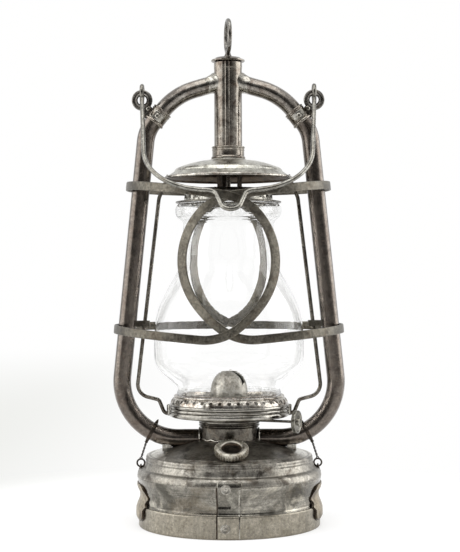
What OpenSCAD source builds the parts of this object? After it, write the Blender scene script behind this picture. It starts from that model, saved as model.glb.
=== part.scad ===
// Tubular kerosene hurricane lantern, millimetres, +Z up.
// Origin: centre of the flat base. The bail hangs to the front, which is -Y.

/* [Fuel tank] */
// Radius of the base band
base_r = 62.4; // [60:0.2:64]
// Radius of the waist above the band
waist_r = 60.4; // [59:0.2:61]
// Radius of the rounded shoulder
shoulder_r = 63.4; // [62.6:0.2:65]
// Height of the base band
band_h = 15; // [12:0.5:18]
// Height of the shoulder line
shoulder_z = 34; // [32:0.5:36]
// Radius of the raised ring on the top
top_ring_r = 57.3; // [56:0.2:59]
// Height of the raised ring
top_ring_z = 48; // [47:0.5:50]
// Thickness of the tank sheet
sheet = 1; // [0.8:0.1:1.3]
// Width of the lap seam strap at the front
seam_w = 15.8; // [10:0.2:20]
// Half angle that each side plate wraps
plate_half_angle = 27; // [15:1:32]

/* [Air tubes] */
// Outer radius of the side tubes
tube_r = 6.15; // [5.6:0.05:6.3]
// Outer radius of the arched top tubes
arch_r = 5.95; // [5.6:0.05:6.1]
// Wall of the tubes
tube_wall = 0.8; // [0.7:0.1:1]
// Height of the horizontal run into the chamber
run_z = 59; // [58.5:0.1:59.5]
// Distance from the axis where the lower bend starts
run_x = 34.7; // [33.5:0.1:36]
// Radius of the lower bend
low_bend_r = 39; // [37:0.5:41]
// Lean of the side tubes
tube_lean = 5.84; // [5:0.1:6.5]
// Length of the straight side tubes
side_len = 162.4; // [158:0.2:166]
// Radius of the bend under the collar
neck_bend_r = 25; // [23:0.5:27]
// Slope of the collar from the horizontal
collar_slope = 51.3; // [50:0.1:53]
// Radius of the arch
arch_bend_r = 50; // [49:0.5:51]
// Length of the collar
collar_len = 10.4; // [9:0.2:11]

/* [Centre tube] */
// Outer radius of the centre tube
centre_r = 9.6; // [9.2:0.1:9.8]
// Lower end of the centre tube
centre_z0 = 249.5; // [249:0.5:252]
// Upper end of the centre tube
centre_z1 = 318; // [316:0.5:322]

/* [Burner] */
// Outer radius of the air chamber
chamber_r = 20.2; // [19.6:0.1:20.6]
// Top of the air chamber
chamber_z1 = 70.4; // [70:0.1:70.8]
// Radius of the burner dome
dome_r = 12.8; // [12:0.1:13.2]
// Top of the burner dome
dome_z1 = 105.4; // [104:0.2:107]
// Width of the flat wick
wick_w = 18; // [14:1:20]
// Height of the wick shaft
shaft_z = 72.4; // [72.2:0.1:72.6]
// Turn of the wick shaft to the front
shaft_turn = 24; // [20:1:28]
// Radius of the wick knob
knob_r = 7.75; // [6.5:0.25:8.5]

/* [Globe cage] */
// Radius of the gallery ring
gallery_r = 41.4; // [41:0.1:42]
// Height of the seat that carries the globe
seat_z = 88.8; // [88:0.2:89.4]
// Largest radius of the globe
globe_r = 51.5; // [50:0.2:52]
// Radius of the globe neck
neck_r = 31.4; // [31:0.1:32]
// Radius of the bead at the globe top
bead_r = 36.6; // [36:0.1:37]
// Top of the globe
globe_z1 = 220.8; // [220:0.2:221.4]
// Thickness of the glass
glass = 1.8; // [1.5:0.1:2.2]
// Radius of the low crown
crown_r = 31; // [29:0.2:32]
// Height of the crown above the globe
crown_h = 9.8; // [9.4:0.2:10]
// Radius of the hood brim
hood_r = 44.6; // [44:0.2:46]
// Radius of the hood dome
hood_dome_r = 36.9; // [36:0.1:37.6]
// Radius of the lift wires
wire_r = 1.3; // [1.1:0.05:1.4]
// Outer diameter of the lift ring
lift_ring_d = 25; // [22:0.5:27]

/* [Bail] */
// Radius of the bail wire
bail_r = 1.5; // [1.3:0.05:1.6]
// Distance of the bail legs from the axis
bail_x = 59.3; // [59:0.1:59.6]
// Height of the bail pivot
bail_z = 297.2; // [296.8:0.1:297.6]
// Lean of the resting bail
bail_lean = 42.8; // [42.6:0.1:44]

/* [Guards] */
// Radius of the left guard in plan
guard_left_r = 64; // [63.8:0.1:64.4]
// Radius of the right guard in plan
guard_right_r = 60.9; // [60.6:0.1:61.1]
// Width of the guard strip
strip_w = 5.8; // [5:0.2:6.4]
// Thickness of the guard strip
strip_t = 1.3; // [1.1:0.05:1.35]
// Height where a guard wraps the tube at the top
guard_z1 = 232.3; // [231:0.1:233]
// Height where a guard wraps the tube at the bottom
guard_z0 = 134.7; // [134:0.1:136]

/* [Filler cap] */
// Outer radius of the filler cap
cap_r = 11.4; // [11:0.1:11.8]
// Height of the filler cap
cap_h = 4.2; // [4:0.1:5]
// Tilt of the cap to the front
cap_tilt = 26; // [25:0.5:27]

/* [Hidden] */
$fn = 64;

// Aged plated steel, warm and cold, glass and cotton
STEEL = [0.55, 0.54, 0.50];
DARK_STEEL = [0.33, 0.31, 0.28];
PALE_STEEL = [0.70, 0.69, 0.64];
GUARD_STEEL = [0.45, 0.43, 0.37];
GLASS = [0.92, 0.95, 0.95, 0.4];
COTTON = [0.85, 0.80, 0.68];

SLACK = 0.4;             // play between sliding pieces
SEAT = 0.3;              // gap between a saddle pad and its hoop
TOP_SHEET_Z = 58.6;      // tank top where it meets the air chamber
CHAMBER_Z0 = 52.4;
PAN_Z = 0;               // underside of the tank bottom
PLATE_PROUD = 0.9;       // thickness of the side plates
RIB = 0.25;              // height of the lock seam on the centre tube
DOME_Z0 = 84;
DOME_SPRING_Z = 92;
RING_Z0 = 74.3;          // gallery ring, lower and upper edge
RING_Z1 = 83;
HOOD_TOP_Z = 251.5;
HOOD_EDGE_Z = 244.2;
BRIM_Z = 238.2;
SLEEVE_R = 11;
POST_R = 10.2;           // inner face of the posts under the hood
EAR_Z = bail_z - 5.2;
EAR_R = 7.2;
EAR_HOLE_R = 3.1;
BAIL_EYE_R = 4.6;
CAP_TOP = [1.5, -44.5, 57.9];
NECK_R = 9;
SHAFT_R = 0.9;
SHAFT_Y = -4.4;          // shaft lies in front of the wick
KNOB_X = 51.5;
SPROCKET_R = 3;
BIG = 400;

// ---- drawing helpers ----

// Points moved sideways and up
function moved(pts, dr, dz) = [for (p = pts) [p[0] + dr, p[1] + dz]];

// Lengths along a bent path, cut to a hundredth so that its stretches meet
function rounded(l) = round(l * 100) / 100;

function reversed(pts) = [for (i = [len(pts) - 1 : -1 : 0]) pts[i]];

// Where a walk [x, z, heading] stands after a straight of length l and a bend
function go(s, l, r, a) = let (x = s[0] + l * cos(s[2]), z = s[1] + l * sin(s[2]), g = sign(a))
    [x - g * r * (sin(s[2]) - sin(s[2] + a)), z + g * r * (cos(s[2]) - cos(s[2] + a)), s[2] + a];

function walk(s, steps, i = 0) = i == len(steps) ? s
    : walk(go(s, steps[i][0], steps[i][1], steps[i][2]), steps, i + 1);

// Sweeps its 2D child along steps of [straight, bend radius, bend angle], from +X
module run(steps, i = 0) {
    if (i < len(steps)) {
        l = steps[i][0];
        r = steps[i][1];
        a = steps[i][2];
        side = sign(a) * r;
        if (l > 0) rotate([90, 0, 90]) linear_extrude(l) children();
        if (a != 0) translate([l, 0, 0]) mirror([0, a < 0 ? 1 : 0, 0]) translate([0, r, 0])
            rotate([0, 0, -90]) rotate_extrude(angle = abs(a)) translate([r, 0]) children();
        translate([l, side, 0]) rotate([0, 0, a]) translate([0, -side, 0])
            run(steps, i + 1) children();
    }
}

// Stations [x, z, heading] along a walk, with each bend cut into short turns
function stations(s, steps, turn, i = 0) = i == len(steps) ? [s] : let (l = steps[i][0],
    r = steps[i][1], a = steps[i][2], n = max(1, ceil(abs(a) / turn)), q = go(s, l, 0, 0))
    concat(l > 0 ? [s] : [], a == 0 ? [] : [for (k = [0 : n - 1]) go(q, 0, r, a * k / n)],
    stations(go(s, l, r, a), steps, turn, i + 1));

// Skin over rings of points; each ring holds n outer points, then n inner ones if hollow
module skin(rings, n, hollow = false, closed = false) {
    m = len(rings);
    k = len(rings[0]);
    last = closed ? m - 1 : m - 2;
    wall = [for (i = [0 : last], j = [0 : n - 1]) let (p = i * k, q = ((i + 1) % m) * k,
        t = (j + 1) % n) each [[p + j, q + t, q + j], [p + j, p + t, q + t]]];
    bore = hollow ? [for (i = [0 : last], j = [0 : n - 1]) let (p = i * k + n,
        q = (i + 1) * k + n, t = (j + 1) % n)
        each [[p + j, q + j, q + t], [p + j, q + t, p + t]]] : [];
    e = (m - 1) * k;
    ends = closed ? [] : hollow ? [for (j = [0 : n - 1]) let (t = (j + 1) % n)
        each [[j, n + t, t], [j, n + j, n + t], [e + j, e + t, e + n + t],
        [e + j, e + n + t, e + n + j]]] :
        [[for (j = [n - 1 : -1 : 0]) j], [for (j = [0 : n - 1]) e + j]];
    polyhedron([for (ring = rings) each ring], concat(wall, bore, ends));
}

// Round ring of points about a station in the XZ plane
function hoop(s, r, n) = [for (j = [0 : n - 1]) let (a = j * 360 / n)
    [s[0] - r * cos(a) * sin(s[2]), r * sin(a), s[1] + r * cos(a) * cos(s[2])]];

// Round bar, or pipe with a wall, along a walk in the XZ plane
module bent_bar(s, steps, r, n, turn, wall = 0) {
    skin([for (q = stations(s, steps, turn)) concat(hoop(q, r, n),
        wall > 0 ? hoop(q, r - wall, n) : [])], n, wall > 0);
}

// Puts a walk that starts at s = [x, z, heading] into the XZ plane
module stand(s) {
    translate([s[0], 0, s[1]]) rotate([90, 0, 0]) rotate([0, 0, s[2]]) children();
}

module pipe_section(r, wall) {
    difference() {
        circle(r = r);
        circle(r = r - wall);
    }
}

// Turned sheet between an outer line and the same line moved inwards
module turned_sheet(pts, dr, dz) {
    rotate_extrude() polygon(concat(pts, reversed(moved(pts, dr, dz))));
}

module tube(r_out, r_in, z0, z1) {
    translate([0, 0, z0]) difference() {
        cylinder(r = r_out, h = z1 - z0);
        translate([0, 0, -1]) cylinder(r = r_in, h = z1 - z0 + 2);
    }
}

module torus(r, wire) {
    rotate_extrude() translate([r, 0]) circle(r = wire, $fn = 32);
}

// ---- paths in the XZ plane, left side; the right side is mirrored ----

TUBE_START = [-(chamber_r - sheet), run_z, 180];
COLLAR_TURN = rounded(180 - (90 + tube_lean) - collar_slope);
TUBE_STEPS = [[run_x - chamber_r + sheet, low_bend_r, -(90 + tube_lean)],
    [side_len, neck_bend_r, -COLLAR_TURN], [collar_len / 2 + 0.1, 0, 0]];
COLLAR = walk(TUBE_START, TUBE_STEPS);
ARCH_END = asin((arch_bend_r * sin(collar_slope) - (-centre_r + 0.8 - COLLAR[0]
    - collar_len / 2 * cos(collar_slope))) / arch_bend_r);
ARCH_STEPS = [[collar_len / 2, arch_bend_r, -rounded(collar_slope - ARCH_END)]];
ARCH_TIP = walk(COLLAR, ARCH_STEPS);

WIRE_START = [-37.6, 75.9, 180];
WIRE_STEPS = [[4.2, 4, -68], [6, 3, 54], [6.5, 9, -82.7], [126.5, 12, -16], [15.5, 0, 0]];

// Strip loops after their arms: front bars sag, back bars stay level
GUARD_FRONT = [-2.8, 223, -8];
GUARD_FRONT_STEPS = [[0, 36, -42], [0, 47, -75], [0, 75, -18], [0, 36, -42]];
GUARD_BACK = [-11.9, guard_z1, 0];
GUARD_BACK_R = 35;
GUARD_BACK_STEPS = [[0, GUARD_BACK_R, -60],
    [0, guard_z1 - guard_z0 - GUARD_BACK_R, -60], [0, GUARD_BACK_R, -60]];
GUARD_OUT_1 = 70.4;      // outer face of a guard beside the tube, top and bottom
GUARD_OUT_0 = 79.1;

// In the bail's own plane: x across, y up to the pivot
BAIL_NOTCH_SHIFT = 1.5;
BAIL_TOE_IN = 3.5;
BAIL_SLOPE = 5;
BAIL_LEG = 55.4;
BAIL_SHOULDER = [38, 56.5];
BAIL_SAG = [50, 90 - BAIL_TOE_IN - BAIL_SLOPE - BAIL_SHOULDER[1]];
NOTCH_FILLET = [6, 67];
NOTCH_LEG = 9;
NOTCH_R = 6.6;

TIE_ANGLE = 28.5;        // place of the tie clip on the lower bend
TIE_RING = [-61, 42];
TIE_RING_R = 2.6;
TIE_WIRE_R = 0.6;

module mirrored() {
    mirror([1, 0, 0]) children();
}

module tube_solid(play = 0) {
    stand(TUBE_START) run(TUBE_STEPS) circle(r = tube_r + play);
}

module arch_solid() {
    stand(COLLAR) run(ARCH_STEPS) circle(r = arch_r);
}

module wire_solid() {
    stand(WIRE_START) run(WIRE_STEPS) circle(r = wire_r, $fn = 32);
}

// ---- fuel tank ----

WALL_LINE = [[base_r - 1.1, PAN_Z + 1.2], [base_r - 1.1, band_h + 0.6], [waist_r, band_h + 2.4],
    [waist_r, 26], [shoulder_r - 0.6, 30.5], [shoulder_r, 32], [shoulder_r, shoulder_z]];
TOP_LINE = [[shoulder_r, shoulder_z], [shoulder_r - 0.6, shoulder_z + 1.4],
    [61.2, shoulder_z + 3], [58.2, shoulder_z + 4], [top_ring_r, shoulder_z + 5],
    [top_ring_r, top_ring_z - 1.4], [top_ring_r - 0.9, top_ring_z],
    [top_ring_r - 1.9, top_ring_z + 0.2], [top_ring_r - 2.7, top_ring_z - 0.4],
    [top_ring_r - 3.5, top_ring_z + 0.1]];

module tank_bottom() {
    color(STEEL) translate([0, 0, PAN_Z]) cylinder(r = base_r - 1.1, h = 1.2);
}

module base_band() {
    color(PALE_STEEL) rotate_extrude() polygon([[base_r - 1.1, 0], [base_r - 0.3, 0],
        [base_r, 0.5], [base_r, band_h - 0.6], [base_r - 0.5, band_h],
        [base_r - 1.1, band_h]]);
}

module tank_wall() {
    color(STEEL) turned_sheet(WALL_LINE, -sheet, 0);
}

// Outer solid of the tank top, used to seat what stands on it
module top_solid() {
    rotate_extrude() polygon(concat([[0, shoulder_z]], TOP_LINE,
        [[chamber_r, TOP_SHEET_Z], [0, TOP_SHEET_Z]]));
}

module tank_top() {
    inner = moved(TOP_LINE, -sheet * 0.8, -sheet);
    color(STEEL) difference() {
        rotate_extrude() polygon(concat(TOP_LINE, [[chamber_r, TOP_SHEET_Z],
            [chamber_r, TOP_SHEET_Z - 1.2 * sheet]],
            reversed([for (p = inner) if (p[1] > shoulder_z) p]),
            [[shoulder_r - sheet, shoulder_z]]));
        tube_solid();
        mirrored() tube_solid();
        at_cap() translate([0, 0, -20]) cylinder(r = NECK_R, h = 25);
    }
}

module seam_strap() {
    half = asin(seam_w / 2 / base_r);
    line = [[base_r, 0.5], [base_r, band_h - 0.6], [base_r - 0.5, band_h],
        [base_r - 1.1, band_h + 0.6], [waist_r, band_h + 2.4], [waist_r, 26],
        [shoulder_r - 0.6, 30.5], [shoulder_r, 32], [shoulder_r, shoulder_z],
        [shoulder_r - 0.6, shoulder_z + 1.4], [61.2, shoulder_z + 3]];
    color(STEEL) rotate([0, 0, -90 - half]) rotate_extrude(angle = 2 * half)
        polygon(concat(line, reversed(moved(line, 0.8, 0.15))));
}

module rivet(r, h) {
    cylinder(r = r, h = h * 0.5);
    translate([0, 0, h * 0.5]) cylinder(r1 = r, r2 = r * 0.5, h = h * 0.5);
}

module seam_rivets() {
    color(DARK_STEEL) {
        translate([-2.2, -shoulder_r - 0.8, 33]) rotate([90, 0, 0]) rivet(1.4, 0.9);
        translate([-2.6, -base_r - 0.8, 7]) rotate([90, 0, 0]) rivet(1.6, 0.9);
    }
}

module side_plate_left() {
    line = [[base_r + 1, 5.2], [base_r + 1.7, 7], [base_r + 1.8, 13], [base_r + 0.8, 16.6],
        [waist_r + PLATE_PROUD, 20], [waist_r + PLATE_PROUD, 22], [waist_r + 2.6, 25],
        [waist_r + 3, 27.5], [waist_r + 2.9, 29.5]];
    color(PALE_STEEL) rotate([0, 0, 180 - plate_half_angle])
        rotate_extrude(angle = 2 * plate_half_angle)
        polygon(concat(line, reversed(moved(line, -PLATE_PROUD, 0))));
}

module side_plate_right() {
    mirrored() side_plate_left();
}

// Frame whose Z runs up through the filler cap, with z = 0 on its top face
module at_cap() {
    translate(CAP_TOP) rotate([cap_tilt, 0, 0]) children();
}

module filler_neck() {
    color(STEEL) at_cap() tube(NECK_R, NECK_R - 1.4, -12, -cap_h + 0.9);
}

// ---- air tubes ----

module burner_chamber() {
    color(DARK_STEEL) difference() {
        union() {
            tube(chamber_r, chamber_r - sheet, CHAMBER_Z0, chamber_z1);
            translate([0, 0, CHAMBER_Z0]) cylinder(r = chamber_r - sheet / 2, h = sheet);
            tube(chamber_r + 0.8, chamber_r - sheet / 2, chamber_z1 - 2.6, chamber_z1);
        }
        for (side = [-1, 1]) translate([side * (chamber_r - sheet), 0, run_z])
            rotate([0, side * 90, 0]) cylinder(r = tube_r, h = 5);
        in_burner() translate([-wick_w / 2 - 1.2, -2.3, 40]) cube([wick_w + 2.4, 4.6, 30]);
    }
}

module side_tube_left() {
    color(DARK_STEEL) bent_bar(TUBE_START, TUBE_STEPS, tube_r, 28, 7.5, tube_wall);
}

module side_tube_right() {
    mirrored() side_tube_left();
}

module arch_tube_left() {
    color(DARK_STEEL) stand(COLLAR) run(ARCH_STEPS) pipe_section(arch_r, tube_wall);
}

module arch_tube_right() {
    mirrored() arch_tube_left();
}

module arch_ferrules() {
    color(STEEL) for (side = [0, 1]) mirror([side, 0, 0]) difference() {
        translate([-centre_r + 0.6, 0, ARCH_TIP[1]]) rotate([0, -90, 0])
            cylinder(r1 = arch_r + 1.3, r2 = arch_r + 0.5, h = 4.6);
        arch_solid();
        cylinder(r = centre_r, h = BIG);
    }
}

module tube_collar_left() {
    bead = 1.3;
    color(STEEL) difference() {
        stand(COLLAR) rotate([0, 90, 0]) translate([0, 0, -collar_len / 2]) {
            cylinder(r = tube_r + 0.6, h = collar_len);
            cylinder(r = tube_r + 1.1, h = bead);
            translate([0, 0, collar_len - bead]) cylinder(r = tube_r + 0.8, h = bead);
        }
        tube_solid();
        arch_solid();
    }
}

module tube_collar_right() {
    mirrored() tube_collar_left();
}

module bail_ear_left() {
    color(STEEL) difference() {
        union() {
            translate([-bail_x, 1, EAR_Z]) rotate([90, 0, 0]) cylinder(r = EAR_R, h = 2);
            translate([0, 1, 0]) rotate([90, 0, 0]) linear_extrude(2)
                polygon([[-bail_x - 2, EAR_Z - 6.5], [COLLAR[0] - 5, COLLAR[1] - 6],
                    [COLLAR[0], COLLAR[1]], [COLLAR[0] - 1, COLLAR[1] + 6],
                    [-bail_x + 4, EAR_Z + 5.9]]);
        }
        translate([-bail_x, 5, EAR_Z]) rotate([90, 0, 0]) cylinder(r = EAR_HOLE_R, h = 10);
        stand(COLLAR) rotate([0, 90, 0]) translate([0, 0, -collar_len]) {
            cylinder(r = tube_r + 0.6, h = 2 * collar_len);
            cylinder(r = tube_r + 1.4, h = collar_len / 2 + 1.4);
            translate([0, 0, collar_len * 1.5 - 1.4]) cylinder(r = tube_r + 1.4, h = collar_len);
        }
    }
}

module bail_ear_right() {
    mirrored() bail_ear_left();
}

module collar_rivets() {
    color(PALE_STEEL) for (side = [0, 1], face = [-1, 1]) mirror([side, 0, 0])
        translate([COLLAR[0] - 6.6, face, COLLAR[1] + 5.4]) rotate([-90 * face, 0, 0])
        rivet(1.1, 0.9);
}

module centre_tube() {
    seam = 2.6;
    color(STEEL) difference() {
        union() {
            cylinder(r = centre_r, h = centre_z1);
            translate([-seam / 2 - 0.6, -centre_r - RIB, 0]) cube([seam, 2, centre_z1]);
        }
        translate([0, 0, -1]) cylinder(r = centre_r - 0.8, h = BIG);
        translate([-BIG / 2, -BIG / 2, -1]) cube([BIG, BIG, centre_z0 + 1]);
        arch_solid();
        mirrored() arch_solid();
    }
}

module rod_guide() {
    color(STEEL) translate([0, 0, centre_z1 - 6]) difference() {
        cylinder(r = centre_r - 0.8, h = 1.4);
        translate([0, 0, -1]) cylinder(r = 1.5 + SLACK, h = 4);
        for (a = [0 : 60 : 300]) rotate([0, 0, a]) translate([5.2, 0, -1]) cylinder(r = 1.6, h = 4);
    }
}

module tube_saddles() {
    color(STEEL) for (side = [0, 1]) mirror([side, 0, 0]) difference() {
        translate([-46, -4, 49]) cube([6, 8, 6]);
        top_solid($fn = 180);
        tube_solid($fn = 180);
    }
}

// ---- guards ----

GUARD_LEAN = (GUARD_OUT_0 - GUARD_OUT_1) / (guard_z1 - guard_z0);

// Axis of the leaning drum on which a guard is bent, at height z; left side
function drum_x(r, z) = r + strip_t / 2 - GUARD_OUT_1 - (guard_z1 - z) * GUARD_LEAN;

// Four corners of the strip where its centre line stands at s; side -1 is the front
function strip_ring(r, s, side) = let (u = strip_w / 2, ends = [for (e = [1, -1])
    [s[0] - e * u * sin(s[2]), s[1] + e * u * cos(s[2])]],
    phi = [for (p = ends) acos(max(-1, min(1, (p[0] - drum_x(r, p[1])) / r)))],
    corner = function(i, rad) [drum_x(r, ends[i][1]) + rad * cos(phi[i]),
        side * rad * sin(phi[i]), ends[i][1]])
    [corner(0, r + strip_t / 2), corner(1, r + strip_t / 2), corner(1, r - strip_t / 2),
    corner(0, r - strip_t / 2)];

// Level or sagging arm from the wrap beside the tube, at height z0, to the station s
function arm(r, z0, s, n) = let (c = (s[0] - drum_x(r, s[1])) / r, end = acos(c))
    [for (k = [0 : n - 1]) let (phi = 180 - (180 - end) * k / n,
        z = z0 + (s[1] - z0) * (1 + cos(phi)) / (1 + c))
        [drum_x(r, z) + r * cos(phi), z, atan(GUARD_LEAN) * cos(phi)]];

function guard_half(r, start, steps, side) = let (loop = stations(start, steps, 9),
    top = arm(r, guard_z1, loop[0], 8), low = arm(r, guard_z0, loop[len(loop) - 1], 8))
    [for (s = concat(top, loop, [for (s = reversed(low)) [s[0], s[1], 180 + s[2]]]))
        strip_ring(r, s, side)];

module guard(r) {
    front = guard_half(r, GUARD_FRONT, GUARD_FRONT_STEPS, -1);
    back = reversed(guard_half(r, GUARD_BACK, GUARD_BACK_STEPS, 1));
    color(GUARD_STEEL) skin(concat(front, [for (i = [1 : len(back) - 2]) back[i]]), 4,
        closed = true);
}

module guard_left() {
    guard(guard_left_r);
}

module guard_right() {
    mirrored() guard(guard_right_r);
}

TUBE_FOOT = walk(TUBE_START, [TUBE_STEPS[0]]);

// Axis of the straight stretch of the left tube at height z
function tube_x(z) = TUBE_FOOT[0] + (z - TUBE_FOOT[1]) * tan(tube_lean);

// Straight stretch of the left tube, used to seat what is soldered to it
module tube_straight() {
    stand(TUBE_FOOT) rotate([0, 90, 0]) cylinder(r = tube_r, h = side_len, $fn = 180);
}

module guard_pads() {
    color(GUARD_STEEL) for (side = [0, 1], z = [guard_z0, guard_z1]) mirror([side, 0, 0]) {
        r = (side == 0 ? guard_left_r : guard_right_r) - strip_t / 2 - SEAT;
        difference() {
            intersection() {
                translate([-90, -3, z - 2]) cube([25, 6, 4]);
                translate([drum_x(r + strip_t / 2 + SEAT, guard_z1), 0, guard_z1])
                    rotate([0, atan(GUARD_LEAN), 0]) translate([0, 0, -BIG / 2])
                    cylinder(r = r * cos(atan(GUARD_LEAN)), h = BIG, $fn = 180);
            }
            tube_straight();
            translate([tube_x(z), -5, z - 5]) cube([20, 10, 10]);
        }
    }
}

// Loop beside the tube that steadies the lift wire
module wire_guide_left() {
    color(GUARD_STEEL) difference() {
        translate([-68, -3.2, 136]) cube([13.4, 6.4, 4]);
        translate([-61.9, -wire_r - SLACK, 130]) cube([5.9, 2 * (wire_r + SLACK), 20]);
        tube_straight();
    }
}

module wire_guide_right() {
    mirrored() wire_guide_left();
}

// ---- ties between the lower bends and the tank ----

TIE_CENTRE = [-run_x, run_z + low_bend_r];

module at_tie() {
    translate([TIE_CENTRE[0] - low_bend_r * sin(TIE_ANGLE), 0,
        TIE_CENTRE[1] - low_bend_r * cos(TIE_ANGLE)]) rotate([0, TIE_ANGLE - 90, 0]) children();
}

module tie_wire_solid() {
    reach = low_bend_r + tube_r + 2.2;
    x0 = TIE_CENTRE[0] - reach * sin(TIE_ANGLE);
    z0 = TIE_CENTRE[1] - reach * cos(TIE_ANGLE);
    dx = TIE_RING[0] - x0;
    dz = TIE_RING[1] + TIE_RING_R + 0.2 - z0;
    stand([x0, z0, atan2(dz, dx)]) run([[norm([dx, dz]), 0, 0]])
        circle(r = TIE_WIRE_R, $fn = 24);
}

module tie_ring_solid() {
    translate([TIE_RING[0], 0, TIE_RING[1]]) rotate([90, 0, 0]) torus(TIE_RING_R, 0.7);
}

module tie_clip_left() {
    w = 3.4;
    fin = 3;
    color(DARK_STEEL) difference() {
        at_tie() union() {
            translate([0, 0, -w / 2]) cylinder(r = tube_r + 0.8, h = w);
            translate([-tube_r - fin, -0.6, -w / 2]) cube([2 * (tube_r + fin), 1.2, w]);
        }
        tube_solid(play = 0.1);
        tie_wire_solid();
    }
}

module tie_clip_right() {
    mirrored() tie_clip_left();
}

module tie_wire_left() {
    color(DARK_STEEL) difference() {
        tie_wire_solid();
        tie_ring_solid();
    }
}

module tie_wire_right() {
    mirrored() tie_wire_left();
}

module tie_rings() {
    color(DARK_STEEL) for (side = [0, 1]) mirror([side, 0, 0]) tie_ring_solid();
}

module tie_staples() {
    color(DARK_STEEL) for (side = [0, 1]) mirror([side, 0, 0]) difference() {
        translate([TIE_RING[0], 0, TIE_RING[1] - 3.1]) rotate([0, 90, 0]) torus(1.9, 0.55);
        top_solid();
    }
}

// ---- burner ----

module in_burner() {
    rotate([0, 0, -shaft_turn]) children();
}

module at_shaft() {
    in_burner() translate([0, SHAFT_Y, shaft_z]) rotate([0, 90, 0]) children();
}

module burner_body() {
    color(DARK_STEEL) difference() {
        rotate_extrude() polygon([[chamber_r, chamber_z1], [chamber_r, chamber_z1 + 0.7],
            [17.6, chamber_z1 + 0.7], [17.6, 77], [dome_r + 0.1, DOME_Z0],
            [dome_r - 0.9, DOME_Z0], [16.6, 76.6], [16.6, chamber_z1]]);
        at_shaft() translate([0, 0, -30]) cylinder(r = SHAFT_R + 0.05, h = 60);
    }
}

module wick_tube() {
    outer = [wick_w + 2.4, 4.6];
    inner = [wick_w + 0.8, 3];
    color(STEEL) in_burner() difference() {
        translate([-outer[0] / 2, -outer[1] / 2, 44]) cube([outer[0], outer[1], 48]);
        translate([-inner[0] / 2, -inner[1] / 2, 40]) cube([inner[0], inner[1], 60]);
        translate([-wick_w / 2 + 1.5, -outer[1], shaft_z - 4.2])
            cube([wick_w - 3, outer[1], 8.4]);
    }
}

function dome_line(r, h) = [for (a = [0 : 7.5 : 90]) [r * cos(a), DOME_SPRING_Z + h * sin(a)]];

module burner_dome() {
    rise = dome_z1 - DOME_SPRING_Z;
    skin = 0.9;
    color(STEEL) difference() {
        rotate_extrude() polygon(concat([[dome_r, DOME_Z0]], dome_line(dome_r, rise),
            reversed(dome_line(dome_r - skin, rise - skin)), [[dome_r - skin, DOME_Z0]]));
        in_burner() translate([-wick_w / 2 - 2.5, -3.2, DOME_SPRING_Z + 5])
            cube([wick_w + 5, 6.4, 20]);
    }
}

module wick_shaft() {
    color(STEEL) at_shaft() translate([0, 0, -18.4]) cylinder(r = SHAFT_R, h = KNOB_X + 18.4);
}

module wick_knob() {
    w = 2.6;
    teeth = 40;
    color(PALE_STEEL) at_shaft() translate([0, 0, KNOB_X - w / 2]) difference() {
        union() {
            cylinder(r = knob_r, h = w);
            translate([0, 0, -1.2]) cylinder(r = 2.6, h = w + 2.4);
        }
        for (i = [0 : teeth - 1]) rotate([0, 0, i * 360 / teeth])
            translate([knob_r + 0.15, 0, -1]) cylinder(r = 0.42, h = w + 2, $fn = 24);
        translate([0, 0, -5]) cylinder(r = SHAFT_R, h = 5 + w / 2);
    }
}

module wick_sprockets() {
    teeth = 10;
    color(STEEL) at_shaft() for (z = [-wick_w / 4, wick_w / 4]) translate([0, 0, z - 0.8])
        difference() {
            union() {
                cylinder(r = SPROCKET_R - 0.8, h = 1.6);
                for (i = [0 : teeth - 1]) rotate([0, 0, (i + 0.5) * 360 / teeth])
                    translate([0, -0.35, 0]) cube([SPROCKET_R, 0.7, 1.6]);
            }
            translate([0, 0, -1]) cylinder(r = SHAFT_R, h = 4);
        }
}

module wick() {
    color(COTTON) in_burner() translate([-wick_w / 2, -1.1, 8]) cube([wick_w, 2.2, 85]);
}

// ---- globe cage: all that the top ring lifts ----

module lift_ring() {
    wire = 1.5;
    rise = centre_z1 + 17.8;
    color(STEEL) {
        translate([0, 0, rise]) rotate([0, 90, 7]) torus(lift_ring_d / 2 - wire, wire);
        translate([0, 0, centre_z1 + 3.7]) cylinder(r1 = 2.6, r2 = 1.8, h = 2.6);
    }
}

module cap_disc() {
    z = centre_z1 + 0.3;
    color(STEEL) rotate_extrude() polygon([[0, z], [11.6, z], [11.6, z + 1.4], [9, z + 2.7],
        [3, z + 3.4], [0, z + 3.4]]);
}

module lift_rod() {
    z0 = globe_z1 + crown_h + 1.5;
    color(DARK_STEEL) translate([0, 0, z0]) cylinder(r = 1.5, h = centre_z1 + 0.3 - z0);
}

module lift_yoke() {
    color(STEEL) translate([-9.8, -2.5, globe_z1 + crown_h]) cube([19.6, 5, 1.5]);
}

module hood_sleeve() {
    color(STEEL) {
        tube(SLEEVE_R, SLEEVE_R - 0.8, HOOD_TOP_Z, HOOD_TOP_Z + 8.3);
        tube(SLEEVE_R + 0.6, SLEEVE_R - 0.1, HOOD_TOP_Z, HOOD_TOP_Z + 1.2);
        tube(SLEEVE_R + 0.3, SLEEVE_R - 0.1, HOOD_TOP_Z + 7.1, HOOD_TOP_Z + 8.3);
    }
}

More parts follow.
